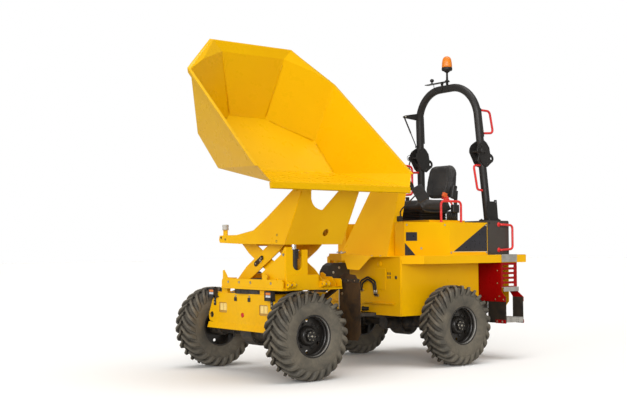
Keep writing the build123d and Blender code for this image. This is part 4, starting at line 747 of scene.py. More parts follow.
# ================================================================ rear body front: panel, slots, hole
bd = Part("body_front_details", "rear_unit", YEL, "yellow_paint")
bd.box(-0.3935, -0.3885, 0.205, 0.385, 0.800, 1.030, 0.002)
bd.lathe((-0.392, 0.290, 1.075), (1, 0, 0), [(-0.002, 0.030), (0.006, 0.030), (0.009, 0.026), (0.009, 0)], 28)
# painted shade: thin dark patches stand for the slots and the round hole and the shade inside them
bb = Part("body_front_hole_shade", "rear_unit", DARKB, "pin_steel")
for y, z in ((0.423, 0.975), (0.457, 0.975), (0.423, 0.935), (0.457, 0.935)):
    bb.box(-0.3925, -0.3905, y - 0.008, y + 0.008, z - 0.013, z + 0.013, 0.0006)
bb.lathe((-0.392, 0.549, 0.935), (1, 0, 0), [(-0.002, 0.019), (0.0015, 0.019), (0.0015, 0)], 24)
bs = Part("body_side_seams", "rear_unit", YEL, "yellow_paint")
for s in (-1, 1):
    bs.box(-0.3965, -0.3900, s * 0.600, s * 0.6195, 0.535, 1.148, 0.003)
    bs.box(-1.555, -0.398, s * 0.6195, s * 0.6225, 1.120, 1.148, 0.001)
    bs.tube([(-0.403, s * 0.6205, 0.535), (-0.403, s * 0.6205, 1.145)], 0.0035, 8, 1)
# blank plate where the graphic is, small dark triangles, blank sticker
dc = Part("pod_graphics", "rear_unit", DECAL, "black_plastic")
dc.prism("y", [(-1.105, 1.202), (-1.630, 1.202), (-1.630, 1.512)], 0.6902, 0.6916, 0)
dl = Part("pod_graphics_edge", "rear_unit", DECAL_LT, "yellow_paint")
dl.prism("y", [(-1.088, 1.196), (-1.632, 1.196), (-1.632, 1.202), (-1.105, 1.202)], 0.6902, 0.6914, 0)
pa_, pb_ = Vector((-0.505, 0.560, 0)), Vector((-1.050, 0.690, 0))
dd_ = (pb_ - pa_).normalized(); nn_ = Vector((-dd_.y, dd_.x, 0)); nn_ = nn_ if nn_.y > 0 else -nn_


def on_pod(t, z, out):
    p = pa_ + dd_ * t + nn_ * out
    return Vector((p.x, p.y, z))


def pod_poly(part, pts, out=0.0014):
    bm = bmesh.new()
    A = [bm.verts.new(on_pod(t, z, 0.0002)) for t, z in pts]
    B = [bm.verts.new(on_pod(t, z, out)) for t, z in pts]
    bm.faces.new(A); bm.faces.new(list(reversed(B)))
    for i in range(len(pts)):
        j = (i + 1) % len(pts)
        bm.faces.new((A[i], B[i], B[j], A[j]))
    bmesh.ops.recalc_face_normals(bm, faces=bm.faces)
    part.add(bm)


pod_poly(dc, [(0.006, 1.166), (0.135, 1.166), (0.006, 1.300)])
pod_poly(dc, [(0.020, 1.320), (0.155, 1.320), (0.155, 1.412), (0.020, 1.412)])
# pod seams and bolts
ps = Part("pod_seams", "rear_unit", PLA, "black_plastic")
ps.box(-1.6435, -1.6385, 0.345, 0.6912, 1.160, 1.5215, 0.0006)
ps.box(-1.6435, -1.6385, -0.6912, -0.345, 1.160, 1.5215, 0.0006)
pbt = Part("pod_bolts", "rear_unit", ZINC, "pin_steel")
for s in (-1, 1):
    for x, z in ((-1.62, 1.19), (-1.62, 1.49), (-1.07, 1.19)):
        pbt.bolt((x, s * 0.6905, z), (0, s, 0), 0.007, 0.004, 1.7)
pbt.bolt(on_pod(0.205, 1.240, 0.0), nn_, 0.007, 0.004, 1.7)
for t in (0.03, 0.50):
    pbt.bolt(on_pod(t, 1.49, 0.0), nn_, 0.006, 0.004, 1.7)
for y in (0.17, 0.31, -0.17, -0.31):
    pbt.bolt((-0.385, y, 1.1605), (0, 0, 1), 0.0085, 0.005, 1.6)

# hose fittings on the body front
hb_ = Part("hose_fittings", "rear_unit", ZINC, "pin_steel")
for y, z in ((0.268, 0.740), (0.238, 0.740), (-0.014, 0.790), (0.016, 0.790)):
    hb_.lathe((-0.3915, y, z), (1, 0, 0), [(0, 0.0145), (0.012, 0.0145), (0.012, 0.0125), (0.019, 0.0115)], 6, False)
for y, z in ((0.268, 0.7580), (0.238, 0.7580)):
    hb_.lathe((-0.362, y, z), (0.0, 0.0, 1.0), [(0, 0.0122), (0.034, 0.0122), (0.038, 0.0108)], 16, True)
pl_ = Part("hose_plug", "rear_unit", HOSE, "black_plastic")
pl_.lathe((-0.3915, 0.105, 0.592), (0.62, -0.78, 0.0), [(-0.004, 0.020), (0.050, 0.020), (0.054, 0.026), (0.070, 0.026), (0.076, 0.020), (0.076, 0)], 24)
# painted shade: a thin black sheet on the ledge top stands for the shaded inside of a slot
sh_ = Part("shelf_slot_shade", "rear_unit", PLA, "black_plastic")
sh_.box(-0.382, -0.3645, 0.050, 0.190, 0.6602, 0.6612, 0.0003)

# ================================================================ rear box: louvres, rear lamps, plate
lv = Part("rear_box_louvres", "rear_unit", DGREY, "dark_grey_paint")
for j in range(7):
    z = 1.225 + 0.036 * j
    lv.box(-1.9965, -1.9880, -0.42, 0.42, z, z + 0.019, 0.003, 2, Matrix.Rotation(math.radians(-18), 3, "Y"))
lv.box(-1.9925, -1.9890, -0.455, 0.455, 1.200, 1.500, 0.0015)
for s in (-1, 1):
    lv.box(-1.985, -1.655, s * 0.6895, s * 0.6925, 1.180, 1.530, 0.0015)
lb = Part("rear_box_bolts", "rear_unit", DARKB, "pin_steel")
for y in (-0.64, -0.52, 0.52, 0.64):
    for z in (1.20, 1.50):
        lb.bolt((-1.9905, y, z), (-1, 0, 0), 0.007, 0.005, 1.6)
for s in (-1, 1):
    for x in (-1.97, -1.67):
        for z in (1.195, 1.515):
            lb.bolt((x, s * 0.6926, z), (0, s, 0), 0.006, 0.004, 1.6)
# filler cap and catch on the rear box top
fc = Part("filler_cap", "rear_unit", PLA, "black_plastic")
fc.lathe((-1.80, -0.36, 1.545), (0, 0, 1), [(0, 0.034), (0.006, 0.036), (0.020, 0.036), (0.026, 0.031), (0.026, 0)], 28)
fc.box(-1.83, -1.77, -0.364, -0.356, 1.571, 1.580, 0.002)
tl = Part("tail_lamps", "rear_unit", REDL, "amber_lens")
tb_ = Part("tail_lamp_bodies", "rear_unit", PLA, "black_plastic")
ta = Part("tail_lamp_amber", "rear_unit", AMBER, "amber_lens")
for s in (-1, 1):
    tb_.box(-2.1620, -2.1485, s * 0.62 - 0.070, s * 0.62 + 0.070, 1.085, 1.150, 0.004)
    tl.box(-2.1665, -2.1560, s * 0.62 - 0.064, s * 0.62 + 0.010, 1.091, 1.144, 0.004)
    ta.box(-2.1665, -2.1560, s * 0.62 + 0.014, s * 0.62 + 0.064, 1.091, 1.144, 0.004)

# ================================================================ steps
stb = Part("step_bolts", "rear_unit", ZINC, "pin_steel")
for s in (-1, 1):
    for y, z in ((0.735, 0.985), (0.735, 0.845), (0.76, 0.700), (0.70, 0.665), (0.82, 0.665)):
        stb.bolt((-1.7415, s * y, z), (1, 0, 0), 0.006, 0.004, 1.6)
    for y in (0.770, 0.825, 0.880):
        stb.bolt((-1.9905, s * y, 0.668), (-1, 0, 0), 0.007, 0.005, 1.7)
    for y in (0.725, 0.800):
        stb.bolt((-1.7415, s * y, 0.420), (1, 0, 0), 0.0075, 0.005, 1.7)
        stb.bolt((-1.9905, s * (y + 0.085), 0.420), (-1, 0, 0), 0.0075, 0.005, 1.7)
sty = Part("deck_corner_bits", "rear_unit", YEL, "yellow_paint")
for s in (-1, 1):
    sty.tube([(-0.400, s * 0.600, 1.1605), (-0.560, s * 0.795, 1.1605), (-2.140, s * 0.795, 1.1605)], 0.003, 8, 1)

# ================================================================ roll bar details
rk = Part("knuckle_pins", "rear_unit", DARKB, "pin_steel")
rk2 = Part("knuckle_black", "rear_unit", BAR, "chassis_black")
rk3 = Part("knuckle_rings", "rear_unit", BAR, "chassis_black")
for s in (-1, 1):
    for y in (0.5605, 0.4335):
        sg = s * (1 if y > 0.5 else -1)
        # raised rim round the open eye
        rk3.lathe((-1.856, s * y, 2.256), (0, sg, 0), [(-0.001, 0.0172), (-0.001, 0.0250), (0.0040, 0.0245), (0.0040, 0.0178)], 28, ring=True)
        for x, z, r in ((-1.700, 2.398, 0.008), (-1.775, 2.425, 0.008), (-1.790, 2.190, 0.008)):
            rk.bolt((x, s * y, z), (0, sg, 0), r, 0.008, 1.6)
    # lock pin with its ring and a retaining spring
    rk2.lathe((-1.672, s * 0.5845, 2.331), (0, s, 0), [(-0.001, 0.022), (0.006, 0.026), (0.018, 0.026), (0.024, 0.020), (0.024, 0)], 28)
    rk.lathe((-1.672, s * 0.6085, 2.331), (0, s, 0), [(-0.001, 0.012), (0.004, 0.012), (0.006, 0.009), (0.006, 0)], 20)
    rk.tube([(-1.664, s * 0.572, 2.362), (-1.632, s * 0.580, 2.366), (-1.612, s * 0.582, 2.340), (-1.622, s * 0.578, 2.306), (-1.652, s * 0.570, 2.300)], 0.0032, 8, 5)
    rk2.tube([(-1.672, s * 0.5725, 2.331), (-1.640, s * 0.5725, 2.270), (-1.632, s * 0.5725, 2.215), (-1.650, s * 0.5725, 2.190)], 0.0085, 10, 4)
    # leg foot: bolts
    for x in (-1.915, -1.765):
        for y in (0.485, 0.605):
            rk.bolt((x, s * y, 1.5605), (0, 0, 1), 0.010, 0.008, 1.6)
hb = Part("hoop_bolts", "hoop", ZINC, "pin_steel")
tn = math.tan(math.radians(4.0))
for s in (-1, 1):
    for z in (2.58, 2.78):
        xx = -1.757 + (z - 2.33) * tn
        hb.bolt((xx - 0.058, s * (0.4965 if z < 2.6 else 0.4815), z), (0, s, 0), 0.007, 0.005, 1.5)
hb.bolt((-1.484, -0.462, 2.818), (0, 1, 0), 0.008, 0.006, 1.5)
hb.bolt((-1.484, -0.500, 2.818), (0, -1, 0), 0.008, 0.006, 1.5)
hc = Part("hoop_cable", "hoop", HOSE, "black_plastic")
xt_ = -1.757 + (3.113 - 2.33) * tn
hc.tube([(xt_ + 0.012, 0.010, 3.1920), (xt_ + 0.046, 0.004, 3.170), (xt_ + 0.050, -0.02, 3.10), (xt_ + 0.048, -0.07, 3.066), (xt_ + 0.050, -0.13, 3.100), (xt_ + 0.047, -0.15, 3.150), (xt_ + 0.030, -0.17, 3.190)], 0.004, 8, 5)

# beacon: plate, posts, lamp base and dome, in place of the plain node
bxx = -1.757 + (3.113 + 0.04445 - 2.33) * tn
bz0 = 3.113 + 0.04445
be = Part("beacon_bracket", "hoop", BAR, "chassis_black")
be.box(bxx - 0.030, bxx + 0.030, -0.325, 0.045, 3.192, 3.200, 0.002)
for y0 in (-0.070, 0.015):
    be.box(bxx - 0.012, bxx + 0.012, y0, y0 + 0.022, bz0 + 0.0002, 3.1925, 0.002)
be.lathe((bxx, 0.026, 3.200), (0, 0, 1), [(0, 0.026), (0.010, 0.026), (0.013, 0.014), (0.060, 0.012), (0.100, 0.012), (0.108, 0.026), (0.120, 0.040), (0.126, 0.056), (0.126, 0)], 32)
be.lathe((bxx, 0.026, 3.326), (0, 0, 1), [(0, 0.0580), (0.006, 0.0620), (0.022, 0.0628), (0.030, 0.0620), (0.036, 0.058), (0.036, 0)], 40)
be.lathe((bxx, -0.228, 3.200), (0, 0, 1), [(0, 0.018), (0.008, 0.018), (0.010, 0.009), (0.020, 0.009), (0.024, 0.018), (0.034, 0.024), (0.046, 0.024), (0.056, 0.018), (0.061, 0.008), (0.062, 0)], 28)
dm = Part("beacon_dome", "hoop", DOME, "amber_lens")
dm.lathe((bxx, 0.026, 3.362), (0, 0, 1), [(0, 0.058), (0.002, 0.0605), (0.024, 0.0600), (0.060, 0.0570), (0.090, 0.0515), (0.110, 0.0440), (0.123, 0.0330), (0.1310, 0.0180), (0.1338, 0)], 64)

# ================================================================ driver's place: levers, pedals, key panel, belt, bellows
lev = Part("levers", "rear_unit", PLA, "black_plastic")
for y in (-0.40, -0.46):
    lev.tube([(-1.16, y, 1.519), (-1.145, y, 1.60), (-1.12, y, 1.70)], 0.006, 10, 4)
    lev.lathe((-1.12, y, 1.695), (0.2, 0, 1), [(0, 0.009), (0.010, 0.017), (0.030, 0.021), (0.046, 0.017), (0.052, 0.008), (0.053, 0)], 20)
    lev.lathe((-1.16, y, 1.5195), (0, 0, 1), [(0, 0.036), (0.006, 0.036), (0.016, 0.024), (0.030, 0.012), (0.030, 0)], 24)
ped = Part("pedals", "rear_unit", PLA, "black_plastic")
for y in (-0.17, 0.0, 0.17):
    ped.box(-0.795, -0.775, y - 0.045, y + 0.045, 1.215, 1.315, 0.006, 2, Matrix.Rotation(math.radians(-35), 3, "Y"))
    ped.tube([(-0.775, y, 1.262), (-0.700, y, 1.230), (-0.640, y, 1.180)], 0.009, 10, 3)
gau = Part("dash_gauge", "rear_unit", PLA, "black_plastic")
gau.lathe((-0.905, 0.0, 1.952), (-0.40, 0, 0.92), [(-0.01, 0.052), (0.006, 0.052), (0.010, 0.048), (0.006, 0.044), (0.006, 0)], 32)
for y in (-0.15, -0.11, 0.11, 0.15):
    gau.lathe((-0.905, y, 1.953), (-0.40, 0, 0.92), [(-0.01, 0.012), (0.010, 0.012), (0.013, 0.009), (0.013, 0)], 16)
# handle feet
hf = Part("handle_feet", "rear_unit", REDH, "red_paint")
for x in (-1.012, -1.318):
    hf.lathe((x, 0.600, 1.5205), (0, 0, 1), [(0, 0.026), (0.005, 0.026), (0.009, 0.0135), (0.009, 0)], 24)
for s in (-1, 1):
    for z in (1.500, 1.215):
        hf.lathe((-1.820, s * 0.6905, z), (0, s, 0), [(0, 0.026), (0.006, 0.026), (0.010, 0.0135), (0.010, 0)], 24)

# seat bellows in place of the plain suspension blocks
sbm = bmesh.new()
levels = []
zz = 1.553
prof = [(1.553, 0.232, 0.205), (1.566, 0.232, 0.205), (1.570, 0.215, 0.188)]
for j in range(4):
    z0 = 1.572 + 0.0185 * j
    prof += [(z0, 0.205, 0.178), (z0 + 0.006, 0.222, 0.194), (z0 + 0.012, 0.222, 0.194)]
prof += [(1.646, 0.208, 0.182), (1.648, 0.236, 0.212), (1.658, 0.238, 0.214)]
rings = []
for z, hx, hy in prof:
    ring = []
    for k in range(40):
        a = 2 * math.pi * k / 40
        c, s = math.cos(a), math.sin(a)
        e = 0.32
        ring.append(sbm.verts.new((-1.3225 + hx * math.copysign(abs(c) ** e, c), hy * math.copysign(abs(s) ** e, s), z)))
    rings.append(ring)
for A, B in zip(rings, rings[1:]):
    for k in range(40):
        sbm.faces.new((A[k], A[(k + 1) % 40], B[(k + 1) % 40], B[k]))
sbm.faces.new(list(reversed(rings[0]))); sbm.faces.new(rings[-1])
bmesh.ops.recalc_face_normals(sbm, faces=sbm.faces)
me = bpy.data.meshes.new("seat_bellows"); sbm.to_mesh(me); sbm.free()
o = mesh_object("seat_bellows", me, HOSE, "rear_unit")
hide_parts("seat_suspension")


# ================================================================ seat cushions
def pad_mesh(name, half, shape, res=(22, 20, 7)):
    """A closed pad: a subdivided box whose points go through shape(u, v, w), each -1..1."""
    bm = bmesh.new()
    nx, ny, nz = res
    grid = {}

    def vert(i, j, k):
        key = (i, j, k)
        if key not in grid:
            grid[key] = bm.verts.new(shape(2 * i / nx - 1, 2 * j / ny - 1, 2 * k / nz - 1))
        return grid[key]

    for i in range(nx):
        for j in range(ny):
            bm.faces.new((vert(i, j, 0), vert(i, j + 1, 0), vert(i + 1, j + 1, 0), vert(i + 1, j, 0)))
            bm.faces.new((vert(i, j, nz), vert(i + 1, j, nz), vert(i + 1, j + 1, nz), vert(i, j + 1, nz)))
    for i in range(nx):
        for k in range(nz):
            bm.faces.new((vert(i, 0, k), vert(i + 1, 0, k), vert(i + 1, 0, k + 1), vert(i, 0, k + 1)))
            bm.faces.new((vert(i, ny, k), vert(i, ny, k + 1), vert(i + 1, ny, k + 1), vert(i + 1, ny, k)))
    for j in range(ny):
        for k in range(nz):
            bm.faces.new((vert(0, j, k), vert(0, j, k + 1), vert(0, j + 1, k + 1), vert(0, j + 1, k)))
            bm.faces.new((vert(nx, j, k), vert(nx, j + 1, k), vert(nx, j + 1, k + 1), vert(nx, j, k + 1)))
    bmesh.ops.recalc_face_normals(bm, faces=bm.faces)
    me = bpy.data.meshes.new(name)
    bm.to_mesh(me); bm.free()
    me.transform(Matrix.Translation((OFF.x, OFF.y, 0)))
    return me


def simulate(o, voxel, cap):
    """Voxel remesh and inflate the pad, with each point held within cap of where it was."""
    bpy.context.view_layer.objects.active = o
    m = o.modifiers.new("remesh", "REMESH"); m.mode = "VOXEL"; m.voxel_size = voxel
    dg = bpy.context.evaluated_depsgraph_get()
    me = bpy.data.meshes.new_from_object(o.evaluated_get(dg))
    o.modifiers.clear(); old = o.data; o.data = me; bpy.data.meshes.remove(old)
    rest = np.zeros(len(me.vertices) * 3); me.vertices.foreach_get("co", rest); rest = rest.reshape(-1, 3)
    c = o.modifiers.new("cloth", "CLOTH")
    c.settings.use_pressure = True
    c.settings.uniform_pressure_force = 4.0
    c.settings.effector_weights.gravity = 0.0
    c.settings.quality = 4
    c.settings.mass = 0.3
    c.settings.tension_stiffness = 12
    c.settings.bending_stiffness = 1.2
    c.point_cache.frame_start, c.point_cache.frame_end = 1, 20
    for fr in range(1, 21):
        bpy.context.scene.frame_set(fr)
    dg = bpy.context.evaluated_depsgraph_get()
    e = o.evaluated_get(dg)
    co = np.zeros(len(e.data.vertices) * 3); e.data.vertices.foreach_get("co", co); co = co.reshape(-1, 3)
    o.modifiers.clear()
    bpy.context.scene.frame_set(1)
    d = co - rest
    ln = np.linalg.norm(d, axis=1, keepdims=True)
    d *= np.minimum(1.0, cap / np.maximum(ln, 1e-9))
    me.vertices.foreach_set("co", (rest + d).ravel()); me.update()
    s = o.modifiers.new("sub", "SUBSURF"); s.levels = s.render_levels = 1
    sm = o.modifiers.new("smooth", "SMOOTH"); sm.factor = 0.5; sm.iterations = 3
    dg = bpy.context.evaluated_depsgraph_get()
    me2 = bpy.data.meshes.new_from_object(o.evaluated_get(dg))
    o.modifiers.clear(); old = o.data; o.data = me2; bpy.data.meshes.remove(old)
    for p in o.data.polygons:
        p.use_smooth = True


def clamp_box(o, lo, hi):
    for v in o.data.vertices:
        for i in range(3):
            v.co[i] = min(max(v.co[i], lo[i]), hi[i])


def edge_soft(u, v, w, r):
    """Rounds the box's corners in a superellipse way."""
    return (u * (1 - r * (abs(v) ** 4) * 0.5 - r * (abs(w) ** 4) * 0.35), v * (1 - r * (abs(u) ** 4) * 0.5 - r * (abs(w) ** 4) * 0.35), w)


def cushion_shape(u, v, w):
    # u: back -1 to front +1, v: right to left, w: bottom to top
    x, y, _ = edge_soft(u, v, w, 0.10)
    X = -1.316 + 0.240 * x
    Y = 0.236 * y
    top = 1.764
    top += 0.024 * math.exp(-((abs(v) - 0.80) / 0.17) ** 2)          # side rolls
    top += 0.013 * math.exp(-((u - 0.80) / 0.18) ** 2)               # front roll
    top -= 0.010 * math.exp(-((u + 0.05) / 0.55) ** 2) * (1 - abs(v) ** 3)
    top -= 0.034 * max(0.0, (abs(u) - 0.84) / 0.16) ** 2
    top -= 0.030 * max(0.0, (abs(v) - 0.86) / 0.14) ** 2
    bot = 1.668 + 0.010 * max(0.0, (abs(u) - 0.8) / 0.2) ** 2
    t = (w + 1) / 2
    pull = 0.007 * math.sin(math.pi * t) * 1.0
    X += math.copysign(pull, u) * (abs(u) > 0.98)
    Y += math.copysign(pull, v) * (abs(v) > 0.98)
    return Vector((X, Y, bot + (top - bot) * t))


LEANB = math.radians(8)


def back_shape(u, v, w):
    # u: across, v: low -1 to high +1, w: back -1 to front +1
    width = 0.226 - 0.022 * max(0.0, v) ** 2 - 0.050 * max(0.0, (v - 0.45) / 0.55) ** 2 - 0.050 * max(0.0, (-v - 0.25) / 0.75) ** 1.5
    x, _, _ = edge_soft(u, v, w, 0.06)
    Y = width * u * (1 - 0.05 * abs(w) ** 4)
    Z = 0.200 * v * (1 - 0.06 * abs(u) ** 5)
    front = 0.026
    front += 0.028 * math.exp(-((abs(u) - 0.80) / 0.20) ** 2) * (1 - 0.45 * max(0.0, v))   # side bolsters
    front += 0.010 * math.exp(-((v + 0.55) / 0.30) ** 2)                                   # lumbar roll
    front += 0.010 * math.exp(-((v - 0.72) / 0.20) ** 2) * (1 - abs(u) ** 2)               # head roll
    front -= 0.030 * max(0.0, (abs(v) - 0.86) / 0.14) ** 2
    front -= 0.020 * max(0.0, (abs(u) - 0.90) / 0.10) ** 2
    back = -0.040 + 0.014 * abs(u) ** 3 + 0.010 * max(0.0, (abs(v) - 0.8) / 0.2) ** 2
    t = (w + 1) / 2
    X = back + (front - back) * t
    c, s = math.cos(LEANB), math.sin(LEANB)
    return Vector((-1.616 + X * c - Z * s, Y, 2.013 + X * s + Z * c))


cu = bpy.data.objects.new("seat_cushion_cover", pad_mesh("seat_cushion_cover", None, cushion_shape, (24, 22, 6)))
bk = bpy.data.objects.new("seat_backrest_cover", pad_mesh("seat_backrest_cover", None, back_shape, (20, 24, 6)))
for o in (cu, bk):
    bpy.context.scene.collection.objects.link(o)
simulate(cu, 0.006, 0.009)
simulate(bk, 0.006, 0.008)
for o, nd in ((cu, "seat_cushion"), (bk, "seat_backrest")):
    lo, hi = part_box(nd)
    clamp_box(o, lo, hi)
    o.data.materials.clear(); o.data.materials.append(SEAT)
    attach(o, "rear_unit")
    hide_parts(nd)


def bvh(o):
    me = o.data
    return BVHTree.FromPolygons([v.co.copy() for v in me.vertices], [tuple(p.vertices) for p in me.polygons])


# piping and sewn seams laid on the covers
se = Part("seat_seams", "rear_unit", SEAT, "seat_vinyl")
T = bvh(cu)


def lay(tree, pts, direc, r, part, off=0.0006, sm=2):
    out = []
    for p in pts:
        h = tree.ray_cast(M(*p), Vector(direc))
        if h[0] is not None:
            q = h[0] + h[1] * off
            out.append((q.x - OFF.x, q.y - OFF.y, q.z))
    if len(out) > 2:
        part.tube(out, r, 8, sm)


for s in (-1, 1):
    lay(T, [(-1.52 + 0.020 * i, s * (0.140 - 0.010 * math.sin(math.pi * i / 20)), 1.90) for i in range(21)], (0, 0, -1), 0.0022, se)
lay(T, [(-1.160, -0.135 + 0.0135 * i, 1.90) for i in range(21)], (0, 0, -1), 0.0022, se)
lay(T, [(-1.320, -0.135 + 0.0135 * i, 1.90) for i in range(21)], (0, 0, -1), 0.0018, se)
T2 = bvh(bk)
for s in (-1, 1):
    lay(T2, [(-1.40, s * (0.094 + 0.054 * (i / 20) ** 1.4), 1.835 + 0.0165 * i) for i in range(21)], (-1, 0, 0), 0.0024, se)
for z0 in (1.925,):
    lay(T2, [(-1.40, -0.100 + 0.010 * i, z0 + 0.012 * (1 - (i / 10 - 1) ** 2)) for i in range(21)], (-1, 0, 0), 0.0020, se)
# moulded shell behind the backrest
sh = Part("seat_shell", "rear_unit", PLA, "black_plastic")
Rb = Matrix.Rotation(math.radians(-8), 3, "Y")
sh.box(-1.6640, -1.6520, -0.155, 0.155, 1.860, 2.160, 0.006, 3, Rb, (-1.616, 0, 2.013))

# belt: retractor, red webbing over the cushion's left rear corner, buckle on a stalk
bt = Part("belt_strap", "rear_unit", BELT, "red_paint")
bt.tube([(-1.530, 0.268, 1.700), (-1.500, 0.262, 1.760), (-1.440, 0.240, 1.800), (-1.395, 0.222, 1.806)], 0.010, 10, 4)
bt.box(-1.460, -1.385, 0.250, 0.276, 1.775, 1.835, 0.006, 2, Matrix.Rotation(math.radians(30), 3, "X"))
bk2 = Part("belt_buckle", "rear_unit", BUCK, "red_paint")
bk2.box(-1.430, -1.370, 0.2480, 0.2800, 1.815, 1.868, 0.008, 3, Matrix.Rotation(math.radians(-18), 3, "Y"))

rt = Part("belt_retractor", "rear_unit", PLA, "black_plastic")
rt.box(-1.600, -1.500, 0.2520, 0.3050, 1.640, 1.735, 0.012, 3)
rt.box(-1.620, -1.450, 0.2400, 0.2560, 1.5535, 1.660, 0.006, 3)
rt.box(-1.575, -1.505, 0.2480, 0.2900, 1.800, 1.960, 0.016, 3, Matrix.Rotation(math.radians(-14), 3, "Y"))
rt.box(-1.350, -1.305, -0.290, -0.262, 1.760, 1.840, 0.008, 3)
for j in range(5):
    rt.tube([(-1.44 - 0.03 * j, 0.262, 1.553), (-1.435 - 0.03 * j, 0.285, 1.60), (-1.43 - 0.03 * j, 0.262, 1.655)], 0.006, 8, 3)
rt.tube([(-1.345, -0.276, 1.62), (-1.330, -0.276, 1.700), (-1.325, -0.276, 1.765)], 0.008, 10, 3)
# seat side lever and slide rails
rt.box(-1.530, -1.110, 0.2200, 0.2400, 1.640, 1.658, 0.004)
rt.box(-1.530, -1.110, -0.2400, -0.2200, 1.640, 1.658, 0.004)
rt.tube([(-1.20, 0.240, 1.650), (-1.12, 0.262, 1.655), (-1.06, 0.262, 1.668)], 0.006, 10, 3)
# hinge brackets between cushion and backrest
for s in (-1, 1):
    rt.box(-1.630, -1.580, s * 0.235 - 0.008, s * 0.235 + 0.008, 1.660, 1.900, 0.006, 2, Matrix.Rotation(math.radians(-6), 3, "Y"))

# mirror: rounded head in place of the plain block
mi = Part("mirror_arm", "rear_unit", PLA, "black_plastic")
mi.tube([(-0.638, 0.358, 1.592), (-0.626, 0.380, 1.650), (-0.669, 0.452, 1.732), (-0.712, 0.524, 1.814)], 0.0078, 12, 4)
mi.box(-0.658, -0.618, 0.316, 0.370, 1.532, 1.590, 0.008, 3)
mi.lathe((-0.638, 0.358, 1.588), (0, 0, 1), [(0, 0.014), (0.003, 0.014), (0.003, 0)], 16)
MX = Vector((-0.5200, 0.1610, -0.8390)).normalized()
MN = Vector((0.6724, 0.6820, -0.2856)); MN = (MN - MX * MN.dot(MX)).normalized()
R3 = Matrix((MX, MN.cross(MX), MN)).transposed()
MC = Vector((-0.752, 0.550, 1.828))
mh = bmesh.new()
bmesh.ops.create_cube(mh, size=1.0)
bmesh.ops.scale(mh, vec=(0.179, 0.127, 0.031), verts=mh.verts)
bmesh.ops.bevel(mh, geom=[e for e in mh.edges if abs(e.verts[0].co.z - e.verts[1].co.z) > 0.01], offset=0.026, segments=5, affect="EDGES", profile=0.5)
bmesh.ops.bevel(mh, geom=[e for e in mh.edges if e.verts[0].co.z > 0.01 and e.verts[1].co.z > 0.01 and e.calc_face_angle(0) > 0.5], offset=0.011, segments=3, affect="EDGES", profile=0.5)
for v in mh.verts:
    v.co = R3 @ v.co + MC
mi.add(mh, False)
mi.lathe(MC + MX * -0.035 + R3 @ Vector((0, 0, 0.0148)), MN, [(-0.001, 0.017), (0.0018, 0.017), (0.0018, 0.012), (0.0004, 0.011), (0.0004, 0)], 20)
mo = Part("mirror_face", "rear_unit", MIRG, "rod_chrome")
mo.box(-0.078, 0.078, -0.052, 0.052, -0.0165, -0.0145, 0.0006, 1)
for v in mo.bm.verts:
    v.co = R3 @ v.co + MC

# engine block: cover, pulleys and ribs so that it reads as one from below
eg = Part("engine_details", "rear_unit", IRON, "engine_iron")
for j in range(6):
    x = -1.44 + 0.115 * j
    for s in (-1, 1):
        eg.box(x, x + 0.035, s * 0.240, s * 0.262, 0.600, 1.040, 0.004)
eg.box(-1.46, -0.80, -0.20, 0.20, 0.560, 0.581, 0.008)
eg.lathe((-0.760, 0, 0.70), (1, 0, 0), [(0, 0.09), (0.03, 0.09), (0.035, 0.075), (0.045, 0.09), (0.05, 0.09), (0.05, 0)], 32)

# ================================================================ finish the collected pieces
for name, part in list(PIECES.items()):
    part.finish()
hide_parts("beacon")
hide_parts("mirror")
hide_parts("indicator_lenses")

# ------------------------------------------------------------------ camera
C = M(6.827194736, 8.569867458, 1.256971687)
R_ = Vector((-0.7944566094929874, 0.6072857812134426, -0.0065326540460787915))
U_ = Vector((0.017913358760995323, 0.034183533134146585, 0.9992550213235692))
D_ = Vector((-0.607056675451977, -0.7937477344839766, 0.038035861903573))
cam_data = bpy.data.cameras.new("camera")
cam = bpy.data.objects.new("camera", cam_data)
bpy.context.scene.collection.objects.link(cam)
cam.matrix_world = Matrix(((R_.x, U_.x, -D_.x, C.x), (R_.y, U_.y, -D_.y, C.y), (R_.z, U_.z, -D_.z, C.z), (0, 0, 0, 1)))
cam_data.sensor_width = 36.0
cam_data.lens = 1022.1272659 * 36.0 / 627.0
cam_data.clip_end = 300
bpy.context.scene.camera = cam
bpy.context.scene.view_settings.view_transform = "Standard"

# ------------------------------------------------------------------ stage
w = bpy.data.worlds.new("world"); bpy.context.scene.world = w
w.use_nodes = True
nt = w.node_tree
bg = nt.nodes["Background"]
bg.inputs[0].default_value = (1.0, 0.95, 0.87, 1)
bg.inputs[1].default_value = 0.50
lp = nt.nodes.new("ShaderNodeLightPath")
bg2 = nt.nodes.new("ShaderNodeBackground"); bg2.inputs[0].default_value = (1, 1, 1, 1); bg2.inputs[1].default_value = 1.0
mx = nt.nodes.new("ShaderNodeMixShader")
bg3 = nt.nodes.new("ShaderNodeBackground"); bg3.inputs[0].default_value = (1.0, 0.97, 0.92, 1); bg3.inputs[1].default_value = 0.30
mg = nt.nodes.new("ShaderNodeMixShader")
nt.links.new(lp.outputs["Is Glossy Ray"], mg.inputs[0])
nt.links.new(bg.outputs[0], mg.inputs[1]); nt.links.new(bg3.outputs[0], mg.inputs[2])
nt.links.new(lp.outputs["Is Camera Ray"], mx.inputs[0])
nt.links.new(mg.outputs[0], mx.inputs[1]); nt.links.new(bg2.outputs[0], mx.inputs[2])
nt.links.new(mx.outputs[0], nt.nodes["World Output"].inputs[0])


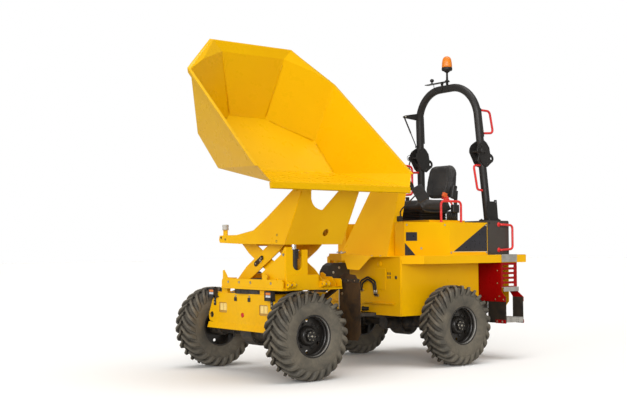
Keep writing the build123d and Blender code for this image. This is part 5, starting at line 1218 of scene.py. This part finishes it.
def area(name, loc, target, size, power):
    l = bpy.data.lights.new(name, "AREA"); l.energy = power; l.size = size
    o = bpy.data.objects.new(name, l); bpy.context.scene.collection.objects.link(o)
    o.location = loc
    o.rotation_euler = (Vector(target) - Vector(loc)).to_track_quat("-Z", "Y").to_euler()
    return o


def sun(name, az, el, angle, strength):
    l = bpy.data.lights.new(name, "SUN"); l.energy = strength; l.angle = math.radians(angle)
    o = bpy.data.objects.new(name, l); bpy.context.scene.collection.objects.link(o)
    a, e = math.radians(az), math.radians(el)
    o.rotation_euler = (-Vector((math.cos(a) * math.cos(e), math.sin(a) * math.cos(e), math.sin(e)))).to_track_quat("-Z", "Y").to_euler()
    return o


sun("overhead", 100, 80, 44, 1.75)
sun("front", 48, 13, 34, 1.55)
sun("front_fill", 8, 12, 30, 0.80)
area("streak", (5.0, 6.0, 5.5), (0, 0, 1.4), 1.6, 40)

me = bpy.data.meshes.new("floor")
me.from_pydata([(-80, -80, 0), (80, -80, 0), (80, 80, 0), (-80, 80, 0)], [], [(0, 1, 2, 3)])
floor = bpy.data.objects.new("floor", me); bpy.context.scene.collection.objects.link(floor)
fm = bpy.data.materials.new("floor"); fm.use_nodes = True
pb = fm.node_tree.nodes["Principled BSDF"]
pb.inputs["Base Color"].default_value = (0.88, 0.88, 0.88, 1)
pb.inputs["Roughness"].default_value = 0.9
pb.inputs["Specular IOR Level"].default_value = 0.1
pb.inputs["Emission Color"].default_value = (1, 1, 1, 1)
pb.inputs["Emission Strength"].default_value = 0.02
# less light thrown back up at the machine than the floor shows
flp = fm.node_tree.nodes.new("ShaderNodeLightPath")
fd = fm.node_tree.nodes.new("ShaderNodeBsdfDiffuse")
fd.inputs["Color"].default_value = (0.50, 0.49, 0.47, 1)
fx = fm.node_tree.nodes.new("ShaderNodeMixShader")
fm.node_tree.links.new(flp.outputs["Is Camera Ray"], fx.inputs[0])
fm.node_tree.links.new(fd.outputs[0], fx.inputs[1])
fm.node_tree.links.new(pb.outputs[0], fx.inputs[2])
fm.node_tree.links.new(fx.outputs[0], fm.node_tree.nodes["Material Output"].inputs[0])
floor.data.materials.append(fm)
